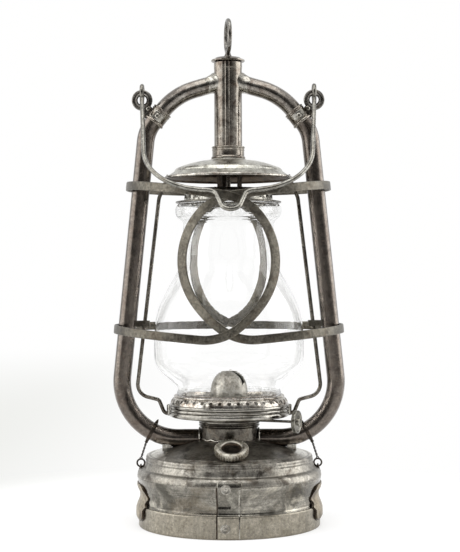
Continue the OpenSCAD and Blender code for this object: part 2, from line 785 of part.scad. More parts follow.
module hood() {
    inner_r = SLEEVE_R - 0.8;
    dome = [for (t = [0 : 0.125 : 1]) [13 + (hood_dome_r - 13) * t,
        HOOD_TOP_Z - (HOOD_TOP_Z - HOOD_EDGE_Z) * t * t]];
    outer = concat([[inner_r, HOOD_TOP_Z]], dome,
        [[hood_dome_r + 0.4, HOOD_EDGE_Z - 1.6], [hood_r - 1.2, BRIM_Z + 0.4]]);
    inner = concat([[inner_r, HOOD_TOP_Z - 1]], moved([for (i = [0 : 7]) dome[i]], 0, -1),
        [[hood_dome_r - 0.8, HOOD_EDGE_Z - 1], [hood_dome_r - 0.3, HOOD_EDGE_Z - 2.3],
        [hood_r - 1.5, BRIM_Z - 0.4]]);
    color(PALE_STEEL) difference() {
        union() {
            rotate_extrude() polygon(concat(outer, reversed(inner)));
            translate([0, 0, BRIM_Z]) torus(hood_r - 0.9, 0.9);
        }
        wire_solid();
        mirrored() wire_solid();
    }
}

module crown_posts() {
    z0 = globe_z1 + crown_h;
    color(DARK_STEEL) for (a = [106, 237, 315]) rotate([0, 0, a])
        translate([POST_R, -1.7, z0]) cube([1.2, 3.4, HOOD_TOP_Z - 1 - z0]);
}

module globe_crown() {
    z0 = globe_z1 + 1.2;
    z1 = globe_z1 + crown_h;
    line = [[crown_r, z0], [crown_r - 0.4, z0 + 4.5], [crown_r - 3.6, z1], [8.5, z1]];
    color(PALE_STEEL) difference() {
        rotate_extrude() polygon(concat(line, [[8.5, z1 - 1], [crown_r - 4.1, z1 - 1],
            [crown_r - 1.4, z0 + 4.2], [crown_r - 1, z0]]));
        for (a = [0 : 15 : 345]) rotate([0, 0, a]) translate([crown_r - 4, 0, z0 + 2.6])
            rotate([0, 90, 0]) cylinder(r = 1.1, h = 6, $fn = 24);
    }
}

module globe_plate() {
    color(PALE_STEEL) rotate_extrude() polygon([[26, globe_z1], [33.4, globe_z1],
        [33.4, globe_z1 - 3], [34.1, globe_z1 - 3], [34.1, globe_z1], [bead_r - 0.4, globe_z1],
        [bead_r - 0.1, globe_z1 + 0.6], [bead_r - 0.4, globe_z1 + 1.2], [26, globe_z1 + 1.2]]);
}

function bulge_line(r_end, z_end, z_mid, power) = [for (t = [0 : 0.0625 : 1])
    [r_end + (globe_r - r_end) * (0.5 + 0.5 * cos(180 * pow(t, power))),
        z_mid + (z_end - z_mid) * t]];

module globe() {
    mid_z = 121;
    line = concat([[35.9, seat_z]], reversed(bulge_line(35.3, 92.5, mid_z, 1.75)),
        [for (i = [1 : 16]) bulge_line(neck_r, 188, mid_z, 1.5)[i]],
        [[neck_r, 207], [neck_r + 1.2, 209.6], [bead_r - 0.9, 211.2], [bead_r, 213],
        [bead_r, globe_z1 - 1], [bead_r - 0.6, globe_z1]]);
    color(GLASS) turned_sheet(line, -glass, 0);
}

module lift_wire_left() {
    color(STEEL) bent_bar(WIRE_START, WIRE_STEPS, wire_r, 12, 12);
}

module lift_wire_right() {
    mirrored() lift_wire_left();
}

module gallery_ring() {
    groove = 0.7;
    bead_h = (RING_Z1 - RING_Z0) / 3;
    beads = [for (i = [0 : 2]) each [[gallery_r - groove, RING_Z0 + i * bead_h],
        [gallery_r, RING_Z0 + (i + 0.25) * bead_h], [gallery_r, RING_Z0 + (i + 0.75) * bead_h]]];
    inner_r = gallery_r - 1.4;
    color(PALE_STEEL) difference() {
        union() {
            rotate_extrude() polygon(concat(beads, [[gallery_r - groove, RING_Z1],
                [inner_r, RING_Z1], [inner_r, RING_Z0]]));
            for (side = [-1, 1]) translate([side * (gallery_r + 0.4) - 1.4, -3, RING_Z0])
                cube([2.8, 6, RING_Z1 - RING_Z0 - 0.6]);
        }
        wire_solid();
        mirrored() wire_solid();
    }
}

module gallery_plate() {
    r = gallery_r;
    upper = [[14.4, 86.2], [30, 86.2], [32.2, seat_z + 1], [33.2, seat_z + 1], [33.6, seat_z],
        [36.9, seat_z], [r - 2.9, seat_z - 1.6], [r - 1.4, 86.2], [r - 0.4, 84.8],
        [r - 0.4, RING_Z1]];
    lower = [[r - 1.4, RING_Z1], [r - 1.4, 84.4], [r - 2.1, 85.4], [r - 3.5, 86.3],
        [36.4, seat_z - 0.9], [32.7, seat_z - 0.9], [30.5, 85.3], [14.4, 85.3]];
    color(PALE_STEEL) difference() {
        rotate_extrude() polygon(concat(upper, lower));
        for (a = [0 : 9 : 351]) rotate([0, 0, a]) translate([r - 2.4, 0, 80])
            cylinder(r = 0.8, h = 12, $fn = 24);
        for (a = [0 : 15 : 345]) rotate([0, 0, a]) translate([22, 0, 80])
            cylinder(r = 2, h = 12, $fn = 24);
    }
}

// ---- bail ----

BAIL_IN = [[BAIL_LEG, BAIL_SHOULDER[0], BAIL_SHOULDER[1]], [0, BAIL_SAG[0], BAIL_SAG[1]]];
NOTCH_TURN = NOTCH_FILLET[1] + BAIL_SLOPE;
BAIL_START = [-bail_x, -BAIL_EYE_R, BAIL_TOE_IN - 90];
BAIL_FREE = rounded(-walk(BAIL_START, concat(BAIL_IN, [[0, NOTCH_FILLET[0],
    -NOTCH_FILLET[1]], [NOTCH_LEG, NOTCH_R, NOTCH_TURN]]))[0] / cos(BAIL_SLOPE));
BAIL_OUT = concat(BAIL_IN, [[BAIL_FREE + BAIL_NOTCH_SHIFT, NOTCH_FILLET[0], -NOTCH_FILLET[1]],
    [NOTCH_LEG, NOTCH_R, 2 * NOTCH_TURN], [NOTCH_LEG, NOTCH_FILLET[0], -NOTCH_FILLET[1]],
    [BAIL_FREE - BAIL_NOTCH_SHIFT, BAIL_SAG[0], BAIL_SAG[1]],
    [0, BAIL_SHOULDER[0], BAIL_SHOULDER[1]]]);
BAIL_END = walk(BAIL_START, BAIL_OUT);

module bail() {
    last_leg = rounded((-BAIL_EYE_R - BAIL_END[1]) / cos(BAIL_TOE_IN));
    color(STEEL) translate([0, 0, bail_z]) {
        rotate([-bail_lean, 0, 0])
            bent_bar(BAIL_START, concat(BAIL_OUT, [[last_leg, 0, 0]]), bail_r, 12, 9);
        for (side = [-1, 1]) translate([side * bail_x, 0, 0]) rotate([0, 90, 0])
            torus(BAIL_EYE_R, bail_r);
    }
}

// ---- filler cap ----

module filler_cap() {
    teeth = 48;
    recess_r = 7.3;
    color(PALE_STEEL) at_cap() difference() {
        translate([0, 0, -cap_h]) cylinder(r = cap_r, h = cap_h);
        translate([0, 0, -1.6]) cylinder(r = recess_r, h = 5);
        translate([0, 0, -cap_h - 5]) cylinder(r = NECK_R + 0.3, h = 6.7);
        for (i = [0 : teeth - 1]) rotate([0, 0, i * 360 / teeth])
            translate([cap_r + 0.15, 0, -cap_h - 1]) cylinder(r = 0.42, h = cap_h + 2, $fn = 24);
    }
}

module cap_seal() {
    color([0.2, 0.18, 0.16]) at_cap() tube(NECK_R - 0.2, NECK_R - 2.6, -cap_h + 0.9,
        -cap_h + 1.7);
}

tank_bottom();
base_band();
tank_wall();
tank_top();
seam_strap();
seam_rivets();
side_plate_left();
side_plate_right();
filler_neck();
burner_chamber();
side_tube_left();
side_tube_right();
arch_tube_left();
arch_tube_right();
arch_ferrules();
tube_collar_left();
tube_collar_right();
bail_ear_left();
bail_ear_right();
collar_rivets();
centre_tube();
rod_guide();
tube_saddles();
guard_left();
guard_right();
guard_pads();
wire_guide_left();
wire_guide_right();
tie_clip_left();
tie_clip_right();
tie_wire_left();
tie_wire_right();
tie_rings();
tie_staples();
burner_body();
wick_tube();
burner_dome();
lift_ring();
cap_disc();
lift_rod();
lift_yoke();
hood_sleeve();
hood();
crown_posts();
globe_crown();
globe_plate();
globe();
lift_wire_left();
lift_wire_right();
gallery_ring();
gallery_plate();
bail();
wick_knob();
wick_shaft();
wick_sprockets();
wick();
filler_cap();
cap_seal();
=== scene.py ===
"""Visual model of a tubular kerosene lantern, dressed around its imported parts.

Sizes in the classes are millimetres in the part's own frame: +Z up, -Y the front,
the origin at the centre of the flat base. Meshes are made in metres.
"""

import logging
import math
from dataclasses import dataclass
from enum import Enum
from types import SimpleNamespace
from typing import Any, Callable, ClassVar, Iterable, Sequence

import bmesh
import bpy
from mathutils import Matrix, Vector

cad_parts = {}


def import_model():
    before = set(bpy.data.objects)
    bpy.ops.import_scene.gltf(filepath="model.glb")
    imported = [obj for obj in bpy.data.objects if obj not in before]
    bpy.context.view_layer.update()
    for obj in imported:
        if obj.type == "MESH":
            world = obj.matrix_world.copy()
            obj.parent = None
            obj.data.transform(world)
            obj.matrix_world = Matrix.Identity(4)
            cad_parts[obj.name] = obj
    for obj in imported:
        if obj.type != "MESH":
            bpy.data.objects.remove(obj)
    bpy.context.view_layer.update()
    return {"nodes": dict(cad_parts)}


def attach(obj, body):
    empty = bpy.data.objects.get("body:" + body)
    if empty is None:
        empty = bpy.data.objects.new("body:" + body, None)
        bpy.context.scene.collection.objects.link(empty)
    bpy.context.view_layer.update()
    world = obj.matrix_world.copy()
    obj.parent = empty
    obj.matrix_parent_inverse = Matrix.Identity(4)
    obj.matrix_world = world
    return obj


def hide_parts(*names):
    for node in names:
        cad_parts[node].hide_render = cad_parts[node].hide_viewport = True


LOG = logging.getLogger("lantern")
MM = 0.001
TINY = 1e-6  # under this a point lies on the axis, or a side has no length
CREASE = 38.0  # degrees from which an edge is sharp
PIERCED_SHEET = 0.7  # thickness of the pierced bands

Thing = bpy.types.Object
Finish = bpy.types.Material
Socket = bpy.types.NodeSocket
Colour = tuple[float, float, float]
Station = tuple[float, float, float]
Line = list[tuple[float, float]]
Shape = Callable[[float, float, float], float]


class Body(Enum):
    """Moving bodies of the lantern."""

    FRAME = "frame"
    CAGE = "globe_cage"
    BAIL = "bail"
    WICK_DRIVE = "wick_drive"
    WICK = "wick"
    CAP = "filler_cap"


class Slot(Enum):
    """Material slots of the part."""

    TIN = "tin_plate"
    TUBE = "dark_tube"
    GUARD = "guard_steel"
    PALE = "pale_plate"
    WIRE = "wire_steel"
    GLASS = "clear_glass"
    COTTON = "cotton"


class Grain(Enum):
    """Direction of the brushed marks, as a stretch of the noise along X, Y and Z."""

    NONE = (1.0, 1.0, 1.0)
    UPRIGHT = (1.0, 1.0, 0.07)
    LEVEL = (0.12, 0.12, 1.6)


# ---- node trees ----


class Tree:
    """Short way to add and join nodes in one node tree."""

    def __init__(self, tree: bpy.types.NodeTree) -> None:
        """Keeps the tree and empties it."""
        self.tree = tree
        tree.nodes.clear()

    def add(self, kind: str, inputs: dict[Any, Any] | None = None, **props: Any) -> bpy.types.Node:
        """Adds a node.

        Args:
            kind: Node type name.
            inputs: Values or sockets for its inputs, by name or number.
            **props: Properties set on the node before its inputs.

        Returns:
            The new node.
        """
        node = self.tree.nodes.new(kind)
        for key, value in props.items():
            setattr(node, key, value)
        for key, value in (inputs or {}).items():
            socket = node.inputs[key]
            if isinstance(value, Socket):
                self.tree.links.new(value, socket)
            elif isinstance(value, tuple) and socket.type == "RGBA" and len(value) == 3:
                socket.default_value = (*value, 1.0)
            else:
                socket.default_value = value
        return node

    def out(self, kind: str, inputs: dict[Any, Any] | None = None, **props: Any) -> Socket:
        """Adds a node and returns its first output."""
        return self.add(kind, inputs, **props).outputs[0]

    def math(self, operation: str, a: Any, b: Any = 0.0) -> Socket:
        """Result of an operation on one or two values."""
        return self.out("ShaderNodeMath", {0: a, 1: b}, operation=operation)

    def mul(self, a: Any, b: Any) -> Socket:
        """Product of two values."""
        return self.math("MULTIPLY", a, b)

    def plus(self, a: Any, b: Any) -> Socket:
        """Sum of two values."""
        return self.math("ADD", a, b)

    def ramp(self, value: Any, low: float, high: float) -> Socket:
        """Smooth step of a value from 0 at low to 1 at high."""
        return self.out("ShaderNodeMapRange", {"Value": value, "From Min": low, "From Max": high},
                        interpolation_type="SMOOTHSTEP")

    def span(self, value: Any, low: float, high: float) -> Socket:
        """A value from 0 to 1 set between two bounds."""
        return self.out("ShaderNodeMapRange", {"Value": value, "To Min": low, "To Max": high})

    def mix(self, factor: Any, a: Any, b: Any, blend: str = "MIX") -> Socket:
        """Mix of two colours, with the factor as the share of the second."""
        return self.add("ShaderNodeMix", {0: factor, 6: a, 7: b}, data_type="RGBA",
                        blend_type=blend).outputs[2]

    def noise(self, vector: Any, scale: float, detail: float = 4.0, rough: float = 0.55,
              warp: float = 0.0) -> Socket:
        """Noise with features of about 1/scale metres."""
        return self.out("ShaderNodeTexNoise", {"Vector": vector, "Scale": scale, "Detail": detail,
                        "Roughness": rough, "Distortion": warp})

    def place(self) -> Socket:
        """Object coordinates in metres."""
        return self.add("ShaderNodeTexCoord").outputs["Object"]

    def axes(self, vector: Any) -> Any:
        """Outputs X, Y and Z of a vector."""
        return self.add("ShaderNodeSeparateXYZ", {"Vector": vector}).outputs

    def skin(self, tone: Any, rough: Any, bump: dict[str, Any], more: dict[str, Any]) -> None:
        """Ends a material with a principled surface.

        Args:
            tone: Base colour.
            rough: Roughness.
            bump: Inputs of the bump node.
            more: Further inputs of the surface.
        """
        normal = self.out("ShaderNodeBump", bump)
        surface = self.out("ShaderNodeBsdfPrincipled", {"Base Color": tone, "Roughness": rough,
                           "Normal": normal, **more})
        self.add("ShaderNodeOutputMaterial", {"Surface": surface})


# ---- finishes ----


def material(name: str) -> tuple[Finish, Tree]:
    """New node-based material and its empty tree.

    Args:
        name: Its name.

    Returns:
        The material and its tree.
    """
    made = bpy.data.materials.new(name)
    made.use_nodes = True
    return made, Tree(made.node_tree)


@dataclass(frozen=True)
class AgedMetal:
    """Old plated or bare steel: mottled tone, stains, brushed marks, pits, soft dents, and dirt
    with painted shade in crevices.
    """

    name: str
    body: Colour
    dark: Colour
    light: Colour
    stain: Colour
    mottle: float
    rough_low: float = 0.2
    rough_high: float = 0.4
    dent: float = 0.25
    pits: float = 0.5
    smear: float = 0.3
    rim: float = 0.3
    grit: float = 0.45
    stain_share: float = 0.42
    light_share: float = 0.5
    grain: Grain = Grain.NONE
    grain_depth: float = 0.35
    grain_scale: float = 900.0
    coat: float = 0.0
    # share of dirt and painted shade that darkens crevices, found by ambient occlusion
    crevice_dirt_and_shade: float = 0.75
    worn_from: float = 9.0
    worn_above: float = 0.0
    seed: float = 0.0

    def build(self) -> Finish:
        """Makes the material.

        Returns:
            The material.
        """
        made, t = material(self.name)
        place = t.place()
        spot = t.out("ShaderNodeMapping", {"Vector": place,
                     "Location": (self.seed, self.seed * 0.7, self.seed * 1.3)})
        along = t.out("ShaderNodeMapping", {"Vector": spot, "Scale": self.grain.value})
        cloud = t.noise(spot, self.mottle * 1.6, 8.0, 0.68, 0.6)
        patch = t.noise(spot, self.mottle * 0.8, 9.0, 0.72, 1.4)
        brushed = t.noise(along, self.grain_scale, 3.0, 0.6)
        wiped = t.noise(along, 95.0, 5.0, 0.6, 0.8)
        grit = t.noise(spot, 620.0, 4.0, 0.7, 0.4)
        fine = t.noise(spot, 2300.0, 2.0, 0.6)
        tone = t.mix(t.ramp(cloud, 0.36, 0.56), self.dark, self.body)
        tone = t.mix(t.mul(t.ramp(patch, 0.5, 0.72), self.light_share), tone, self.light)
        marks = t.mix(t.ramp(brushed, 0.36, 0.66), (0.6, 0.6, 0.6), (1.5, 1.49, 1.45))
        tone = t.mix(self.grain_depth, tone, t.mix(1.0, tone, marks, "MULTIPLY"))
        for cause, low, high, share, change in (
                (wiped, 0.52, 0.42, self.smear, (0.42, 0.41, 0.40)),
                (wiped, 0.56, 0.66, self.smear, (1.55, 1.54, 1.5)),
                (grit, 0.5, 0.36, self.grit, (0.40, 0.39, 0.38)),
                (grit, 0.54, 0.68, self.grit, (1.7, 1.68, 1.62))):
            changed = t.mix(1.0, tone, change, "MULTIPLY")
            tone = t.mix(t.mul(t.ramp(cause, low, high), share), tone, changed)
        off = t.math("SUBTRACT", patch, 0.5)
        axes = t.axes(place)
        side = t.plus(t.math("ABSOLUTE", axes["X"]), t.mul(off, 0.016))
        worn = t.mul(t.ramp(side, self.worn_from, self.worn_from + 0.0012),
                     t.ramp(axes["Z"], self.worn_above, self.worn_above + 0.0006))
        tone = t.mix(worn, tone, t.mix(t.mul(t.ramp(grit, 0.5, 0.38), 0.7), self.light, self.body))
        outline = t.ramp(t.math("ABSOLUTE", off), 0.014, 0.003)
        tone = t.mix(t.mul(outline, self.rim), tone, self.dark)
        rust = t.mul(t.mul(t.ramp(patch, 0.5, 0.36), self.stain_share), t.ramp(fine, 0.3, 0.62))
        tone = t.mix(rust, tone, self.stain)
        speck = t.mul(t.ramp(t.noise(spot, 700.0, 5.0, 0.7), 0.64, 0.76), self.pits)
        tone = t.mix(speck, tone, self.dark)
        # Dirt and painted shade: the colour turns to the dark and stain tones where ambient
        # occlusion finds a crevice.
        near = t.add("ShaderNodeAmbientOcclusion", {"Distance": 0.004}, samples=4).outputs["AO"]
        tone = t.mix(t.mul(t.ramp(near, 0.75, 0.25), self.crevice_dirt_and_shade), tone,
                     t.mix(0.5, self.dark, self.stain))
        haze = t.plus(t.mul(t.ramp(cloud, 0.35, 0.68), 0.55), t.mul(rust, 0.8))
        height = t.plus(t.mul(brushed, 0.018), t.mul(t.noise(spot, 45.0, 2.0, 0.5), self.dent))
        height = t.math("SUBTRACT", height, t.mul(speck, 0.06))
        height = t.plus(height, t.mul(grit, self.grit * 0.06))
        t.skin(tone, t.span(haze, self.rough_low, self.rough_high),
               {"Height": height, "Strength": 0.55, "Distance": 0.002},
               {"Metallic": 1.0, "Coat Weight": self.coat, "Coat Roughness": 0.22})
        return made


@dataclass(frozen=True)
class BlownGlass:
    """Clear blown glass, thin and faintly uneven, frosted at its foot."""

    name: str
    tint: Colour = (0.997, 0.998, 0.997)
    rim_tone: Colour = (0.60, 0.60, 0.58)
    foot_z: float = 0.0925
    bead_z: float = 0.2095

    def build(self) -> Finish:
        """Makes the material.

        Returns:
            The material.
        """
        made, t = material(self.name)
        place = t.place()
        wave = t.noise(place, 55.0, 2.0, 0.5)
        smear = t.ramp(t.noise(place, 38.0, 6.0, 0.6, 0.8), 0.35, 0.75)
        height = t.axes(place)["Z"]
        foot = t.ramp(height, self.foot_z + 0.0012, self.foot_z - 0.0006)
        bead = t.ramp(height, self.bead_z, self.bead_z + 0.002)
        frost = t.ramp(t.noise(place, 420.0, 5.0, 0.7, 0.5), 0.42, 0.62)
        share = t.math("MAXIMUM", t.mul(foot, frost), t.mul(t.mul(bead, frost), 0.35))
        rough = t.plus(t.mul(smear, 0.03), t.mul(foot, 0.12))
        t.skin(t.mix(share, self.tint, self.rim_tone), rough,
               {"Height": wave, "Strength": 0.1, "Distance": 0.002},
               {"Transmission Weight": 1.0, "IOR": 1.27})
        return made


@dataclass(frozen=True)
class WovenCotton:
    """Flat woven wick cotton, charred at its upper edge, with painted shade in the hollows of its
    weave.
    """

    name: str
    clean: Colour = (0.72, 0.66, 0.52)
    # colour of the painted shade in the weave's hollows
    shade: Colour = (0.3, 0.26, 0.2)
    char: Colour = (0.05, 0.04, 0.035)
    char_z: float = 0.088

    def build(self) -> Finish:
        """Makes the material.

        Returns:
            The material.
        """
        made, t = material(self.name)
        place = t.place()
        axes = t.axes(place)
        weave = t.mul(t.math("SINE", t.mul(axes["X"], 6200.0)),
                      t.math("SINE", t.mul(axes["Z"], 7800.0)))
        burnt = t.ramp(t.plus(axes["Z"], t.mul(t.noise(place, 400.0), 0.004)), self.char_z,
                       self.char_z + 0.005)
        # Painted shade: the low cells of the weave take the darker shade colour.
        tone = t.mix(t.ramp(weave, -1.0, 1.0), t.mix(0.35, self.clean, self.shade), self.clean)
        t.skin(t.mix(burnt, tone, self.char), 0.92,
               {"Height": weave, "Strength": 0.6, "Distance": 0.0004}, {"Sheen Weight": 0.3})
        return made


@dataclass(frozen=True)
class DarkCork:
    """Dark, crumbly sealing ring."""

    name: str
    tone: Colour = (0.06, 0.05, 0.04)
    crumb: Colour = (0.16, 0.12, 0.08)

    def build(self) -> Finish:
        """Makes the material.

        Returns:
            The material.
        """
        made, t = material(self.name)
        crumbs = t.noise(t.place(), 1400.0, 4.0, 0.7)
        t.skin(t.mix(t.ramp(crumbs, 0.45, 0.65), self.tone, self.crumb), 0.85,
               {"Height": crumbs, "Strength": 0.5, "Distance": 0.0005}, {})
        return made


# ---- shapes ----


def walk(start: Station, steps: Iterable[Station], turn: float = 3.0) -> list[Station]:
    """Stations along straights and bends in the XZ plane.

    Args:
        start: First x, z and heading in degrees.
        steps: Straight length, bend radius and bend angle of each step.
        turn: Largest turn between two stations of a bend.

    Returns:
        Stations as x, z and heading.
    """
    x, z, head = start
    found = [start]
    for length, radius, angle in steps:
        if length > 0:
            x += length * math.cos(math.radians(head))
            z += length * math.sin(math.radians(head))
            found.append((x, z, head))
        count = max(1, math.ceil(abs(angle) / turn)) if angle else 0
        side = math.copysign(radius, angle)
        x0, z0, h0 = x, z, head
        for k in range(1, count + 1):
            head = h0 + angle * k / count
            x = x0 - side * (math.sin(math.radians(h0)) - math.sin(math.radians(head)))
            z = z0 + side * (math.cos(math.radians(h0)) - math.cos(math.radians(head)))
            found.append((x, z, head))
    return found


def at(r: float, z: float, *steps: tuple[float, float]) -> Line:
    """Points given as steps from a radius and a height."""
    return [(r + dr, z + dz) for dr, dz in steps]


def rounded(outline: Line, radius: float = 0.4, steps: int = 3) -> Line:
    """Closed outline with each corner turned into a small arc.

    Args:
        outline: The outline.
        radius: Largest cut along each side of a corner.
        steps: Chords of each arc.

    Returns:
        The softened outline.
    """
    found: Line = []
    for i, (x, y) in enumerate(outline):
        here = Vector((x, y))
        back = Vector(outline[i - 1]) - here
        ahead = Vector(outline[(i + 1) % len(outline)]) - here
        if back.length < TINY or ahead.length < TINY or x < TINY:
            found.append((x, y))
            continue
        cut = min(radius, back.length * 0.45, ahead.length * 0.45)
        a = here + back.normalized() * cut
        b = here + ahead.normalized() * cut
        for k in range(steps + 1):
            u = k / steps
            found.append(tuple(a * (1 - u) ** 2 + here * 2 * u * (1 - u) + b * u * u))
    return found


def band(line: Line, thick: float) -> Line:
    """Closed outline of a sheet, set off to the right of the line if thick is positive.

    Args:
        line: One side of the sheet.
        thick: Its thickness.

    Returns:
        The outline.
    """
    inner: Line = []
    for i, (x, y) in enumerate(line):
        ahead, back = Vector(line[min(len(line) - 1, i + 1)]), Vector(line[max(0, i - 1)])
        d = (ahead - back).normalized()
        inner.append((max(0.0, x + d.y * thick), y - d.x * thick))
    return [*line, *reversed(inner)]


def wire_ring(radius: float, wire: float, count: int = 16, high: float | None = None) -> Line:
    """Section of a ring of wire, oval when a half height is given."""
    return [(radius + wire * math.cos(math.tau * k / count),
             (high or wire) * math.sin(math.tau * k / count)) for k in range(count)]


def linked(name: str, data: Any) -> Thing:
    """New object with its data in the scene.

    Args:
        name: Name of the object.
        data: Its data.

    Returns:
        The object.
    """
    made = bpy.data.objects.new(name, data)
    bpy.context.scene.collection.objects.link(made)
    return made


def meshed(name: str, bm: bmesh.types.BMesh) -> Thing:
    """New object with the bmesh, which is freed.

    Args:
        name: Name of the object.
        bm: Its mesh in metres.

    Returns:
        The object.
    """
    data = bpy.data.meshes.new(name)
    bm.to_mesh(data)
    bm.free()
    return linked(name, data)


def shaded(piece: Thing, crease: float) -> Thing:
    """Smooth shading with sharp edges above an angle.

    Args:
        piece: The piece.
        crease: The angle in degrees.

    Returns:
        The same piece.
    """
    piece.data.shade_smooth()
    piece.data.set_sharp_from_angle(angle=math.radians(crease))
    return piece


def finished(name: str, bm: bmesh.types.BMesh, crease: float = CREASE) -> Thing:
    """Piece in metres from a bmesh in millimetres, with closed seams and outward faces.

    Args:
        name: Name of the piece.
        bm: Its mesh.
        crease: Angle of a sharp edge in degrees.

    Returns:
        The piece.
    """
    bmesh.ops.remove_doubles(bm, verts=bm.verts, dist=0.002)
    bmesh.ops.dissolve_degenerate(bm, edges=bm.edges, dist=0.0005)
    bmesh.ops.recalc_face_normals(bm, faces=bm.faces)
    bmesh.ops.scale(bm, vec=(MM, MM, MM), verts=bm.verts)
    return shaded(meshed(name, bm), crease)


def revolved(name: str, outline: Line, segments: int = 120, start: float = 0.0,
             span: float = 360.0, place: Matrix | None = None, shape: Shape | None = None,
             soft: float = 0.0) -> Thing:
    """Turned piece from a closed outline of radius and height.

    Args:
        name: Piece name.
        outline: Closed outline.
        segments: Facets round the full span.
        start: First angle in degrees.
        span: Turned angle in degrees.
        place: Where the piece's own frame lies.
        shape: Adds to the radius, from angle, radius and height.
        soft: Rounding of the outline's corners.

    Returns:
        The piece.
    """
    outline = rounded(outline, soft) if soft else outline
    bm = bmesh.new()
    full = span > 359.9
    rings = []
    for i in range(segments if full else segments + 1):
        a = math.radians(start + span * i / segments)
        ring = []
        for r, z in outline:
            grown = r + (shape(a, r, z) if shape else 0.0)
            ring.append(bm.verts.new((grown * math.cos(a), grown * math.sin(a), z)))
        rings.append(ring)
    for i in range(segments):
        one, two = rings[i], rings[(i + 1) % len(rings)]
        for j, (r, _) in enumerate(outline):
            k = (j + 1) % len(outline)
            on_axis, next_on = r < TINY, outline[k][0] < TINY
            corners = [one[j], two[j], two[k], one[k]]
            if on_axis:
                del corners[1]
            elif next_on:
                del corners[2]
            if not (on_axis and next_on):
                bm.faces.new(corners)
    if not full:
        bm.faces.new(rings[0])
        bm.faces.new(list(reversed(rings[-1])))
    if place is not None:
        bm.transform(place)
    return finished(name, bm)


def swept(name: str, rings: Sequence[Sequence[Vector]], closed: bool = False,
          crease: float = CREASE) -> Thing:
    """Skin over rings with the same number of points; the last may join the first.

    Args:
        name: Name of the piece.
        rings: Sections in millimetres.
        closed: Whether the last ring joins the first.
        crease: Angle of a sharp edge in degrees.

    Returns:
        The piece.
    """
    bm = bmesh.new()
    made = [[bm.verts.new(p) for p in ring] for ring in rings]
    for i in range(len(made) - (not closed)):
        one, two = made[i], made[(i + 1) % len(made)]
        for j in range(len(one)):
            k = (j + 1) % len(one)
            bm.faces.new((one[j], one[k], two[k], two[j]))
    if not closed:
        bm.faces.new(list(reversed(made[0])))
        bm.faces.new(made[-1])
    return finished(name, bm, crease)


def mirrored(source: Thing, name: str) -> Thing:
    """Copy of a piece on the other side of the YZ plane, its faces outward.

    Args:
        source: The piece.
        name: Name of the copy.

    Returns:
        The copy.
    """
    data = source.data.copy()
    bm = bmesh.new()
    bm.from_mesh(data)
    bmesh.ops.scale(bm, vec=(-1.0, 1.0, 1.0), verts=bm.verts)
    bmesh.ops.reverse_faces(bm, faces=bm.faces)
    bm.to_mesh(data)
    bm.free()
    return linked(name, data)


def joined(name: str, *pieces: Thing) -> Thing:
    """One piece from several, which are removed.

    Args:
        name: Name of the whole.
        *pieces: The pieces.

    Returns:
        The whole.
    """
    bm = bmesh.new()
    for piece in pieces:
        bm.from_mesh(piece.data)
        bpy.data.objects.remove(piece)
    return meshed(name, bm)


def frame_at(origin: Sequence[float], way: Sequence[float],
             across: Sequence[float] = (0, 1, 0)) -> Matrix:
    """Frame at an origin whose Z runs along one direction and whose Y stays near another.

    Args:
        origin: Its origin.
        way: Direction of its Z axis.
        across: Direction near its Y axis.

    Returns:
        The frame as a matrix.
    """
    z = Vector(way).normalized()
    x = Vector(across).cross(z).normalized()
    turn = Matrix((x, z.cross(x), z)).transposed().to_4x4()
    return Matrix.Translation(Vector(origin)) @ turn


def upright(path: Iterable[Station]) -> list[Vector]:
    """Stations of a walk as points in the XZ plane."""
    return [Vector((x, 0.0, z)) for x, z, _ in path]


def turned(degrees: float, axis: str) -> Matrix:
    """Rotation about one axis."""
    return Matrix.Rotation(math.radians(degrees), 4, axis)


def hand_beaten(depth: float, lobes: float) -> Shape:
    """Slight out-of-round of hand-worked sheet, never outward, at most the depth.

    Args:
        depth: Most change of the radius in millimetres.
        lobes: Waves round the piece.

    Returns:
        A function of angle, radius and height.
    """
    def change(a: float, _r: float, z: float) -> float:
        """Sum of a few slow waves."""
        wave = math.sin(lobes * a + z * 0.11) * 0.5 + math.sin((lobes + 4) * a - z * 0.07) * 0.3
        return depth * (wave * 0.5 - 0.5)
    return change


def ridge(name: str, half: float, high: float, long: float) -> Thing:
    """Small rib with rounded ends, its back toward +X and its length along Z.

    Args:
        name: Name of the rib.
        half: Half its width.
        high: Its height.
        long: Its length.

    Returns:
        The rib.
    """
    rings = [[Vector((x, y, z * long)) for x, y in
              ((-0.25, -half), (0.0, -half), (high * share, -half * 0.45),
               (high * share, half * 0.45), (0.0, half), (-0.25, half))]
             for z, share in ((-0.5, 0.3), (-0.44, 1.0), (0.44, 1.0), (0.5, 0.3))]
    return swept(name, rings, crease=60)


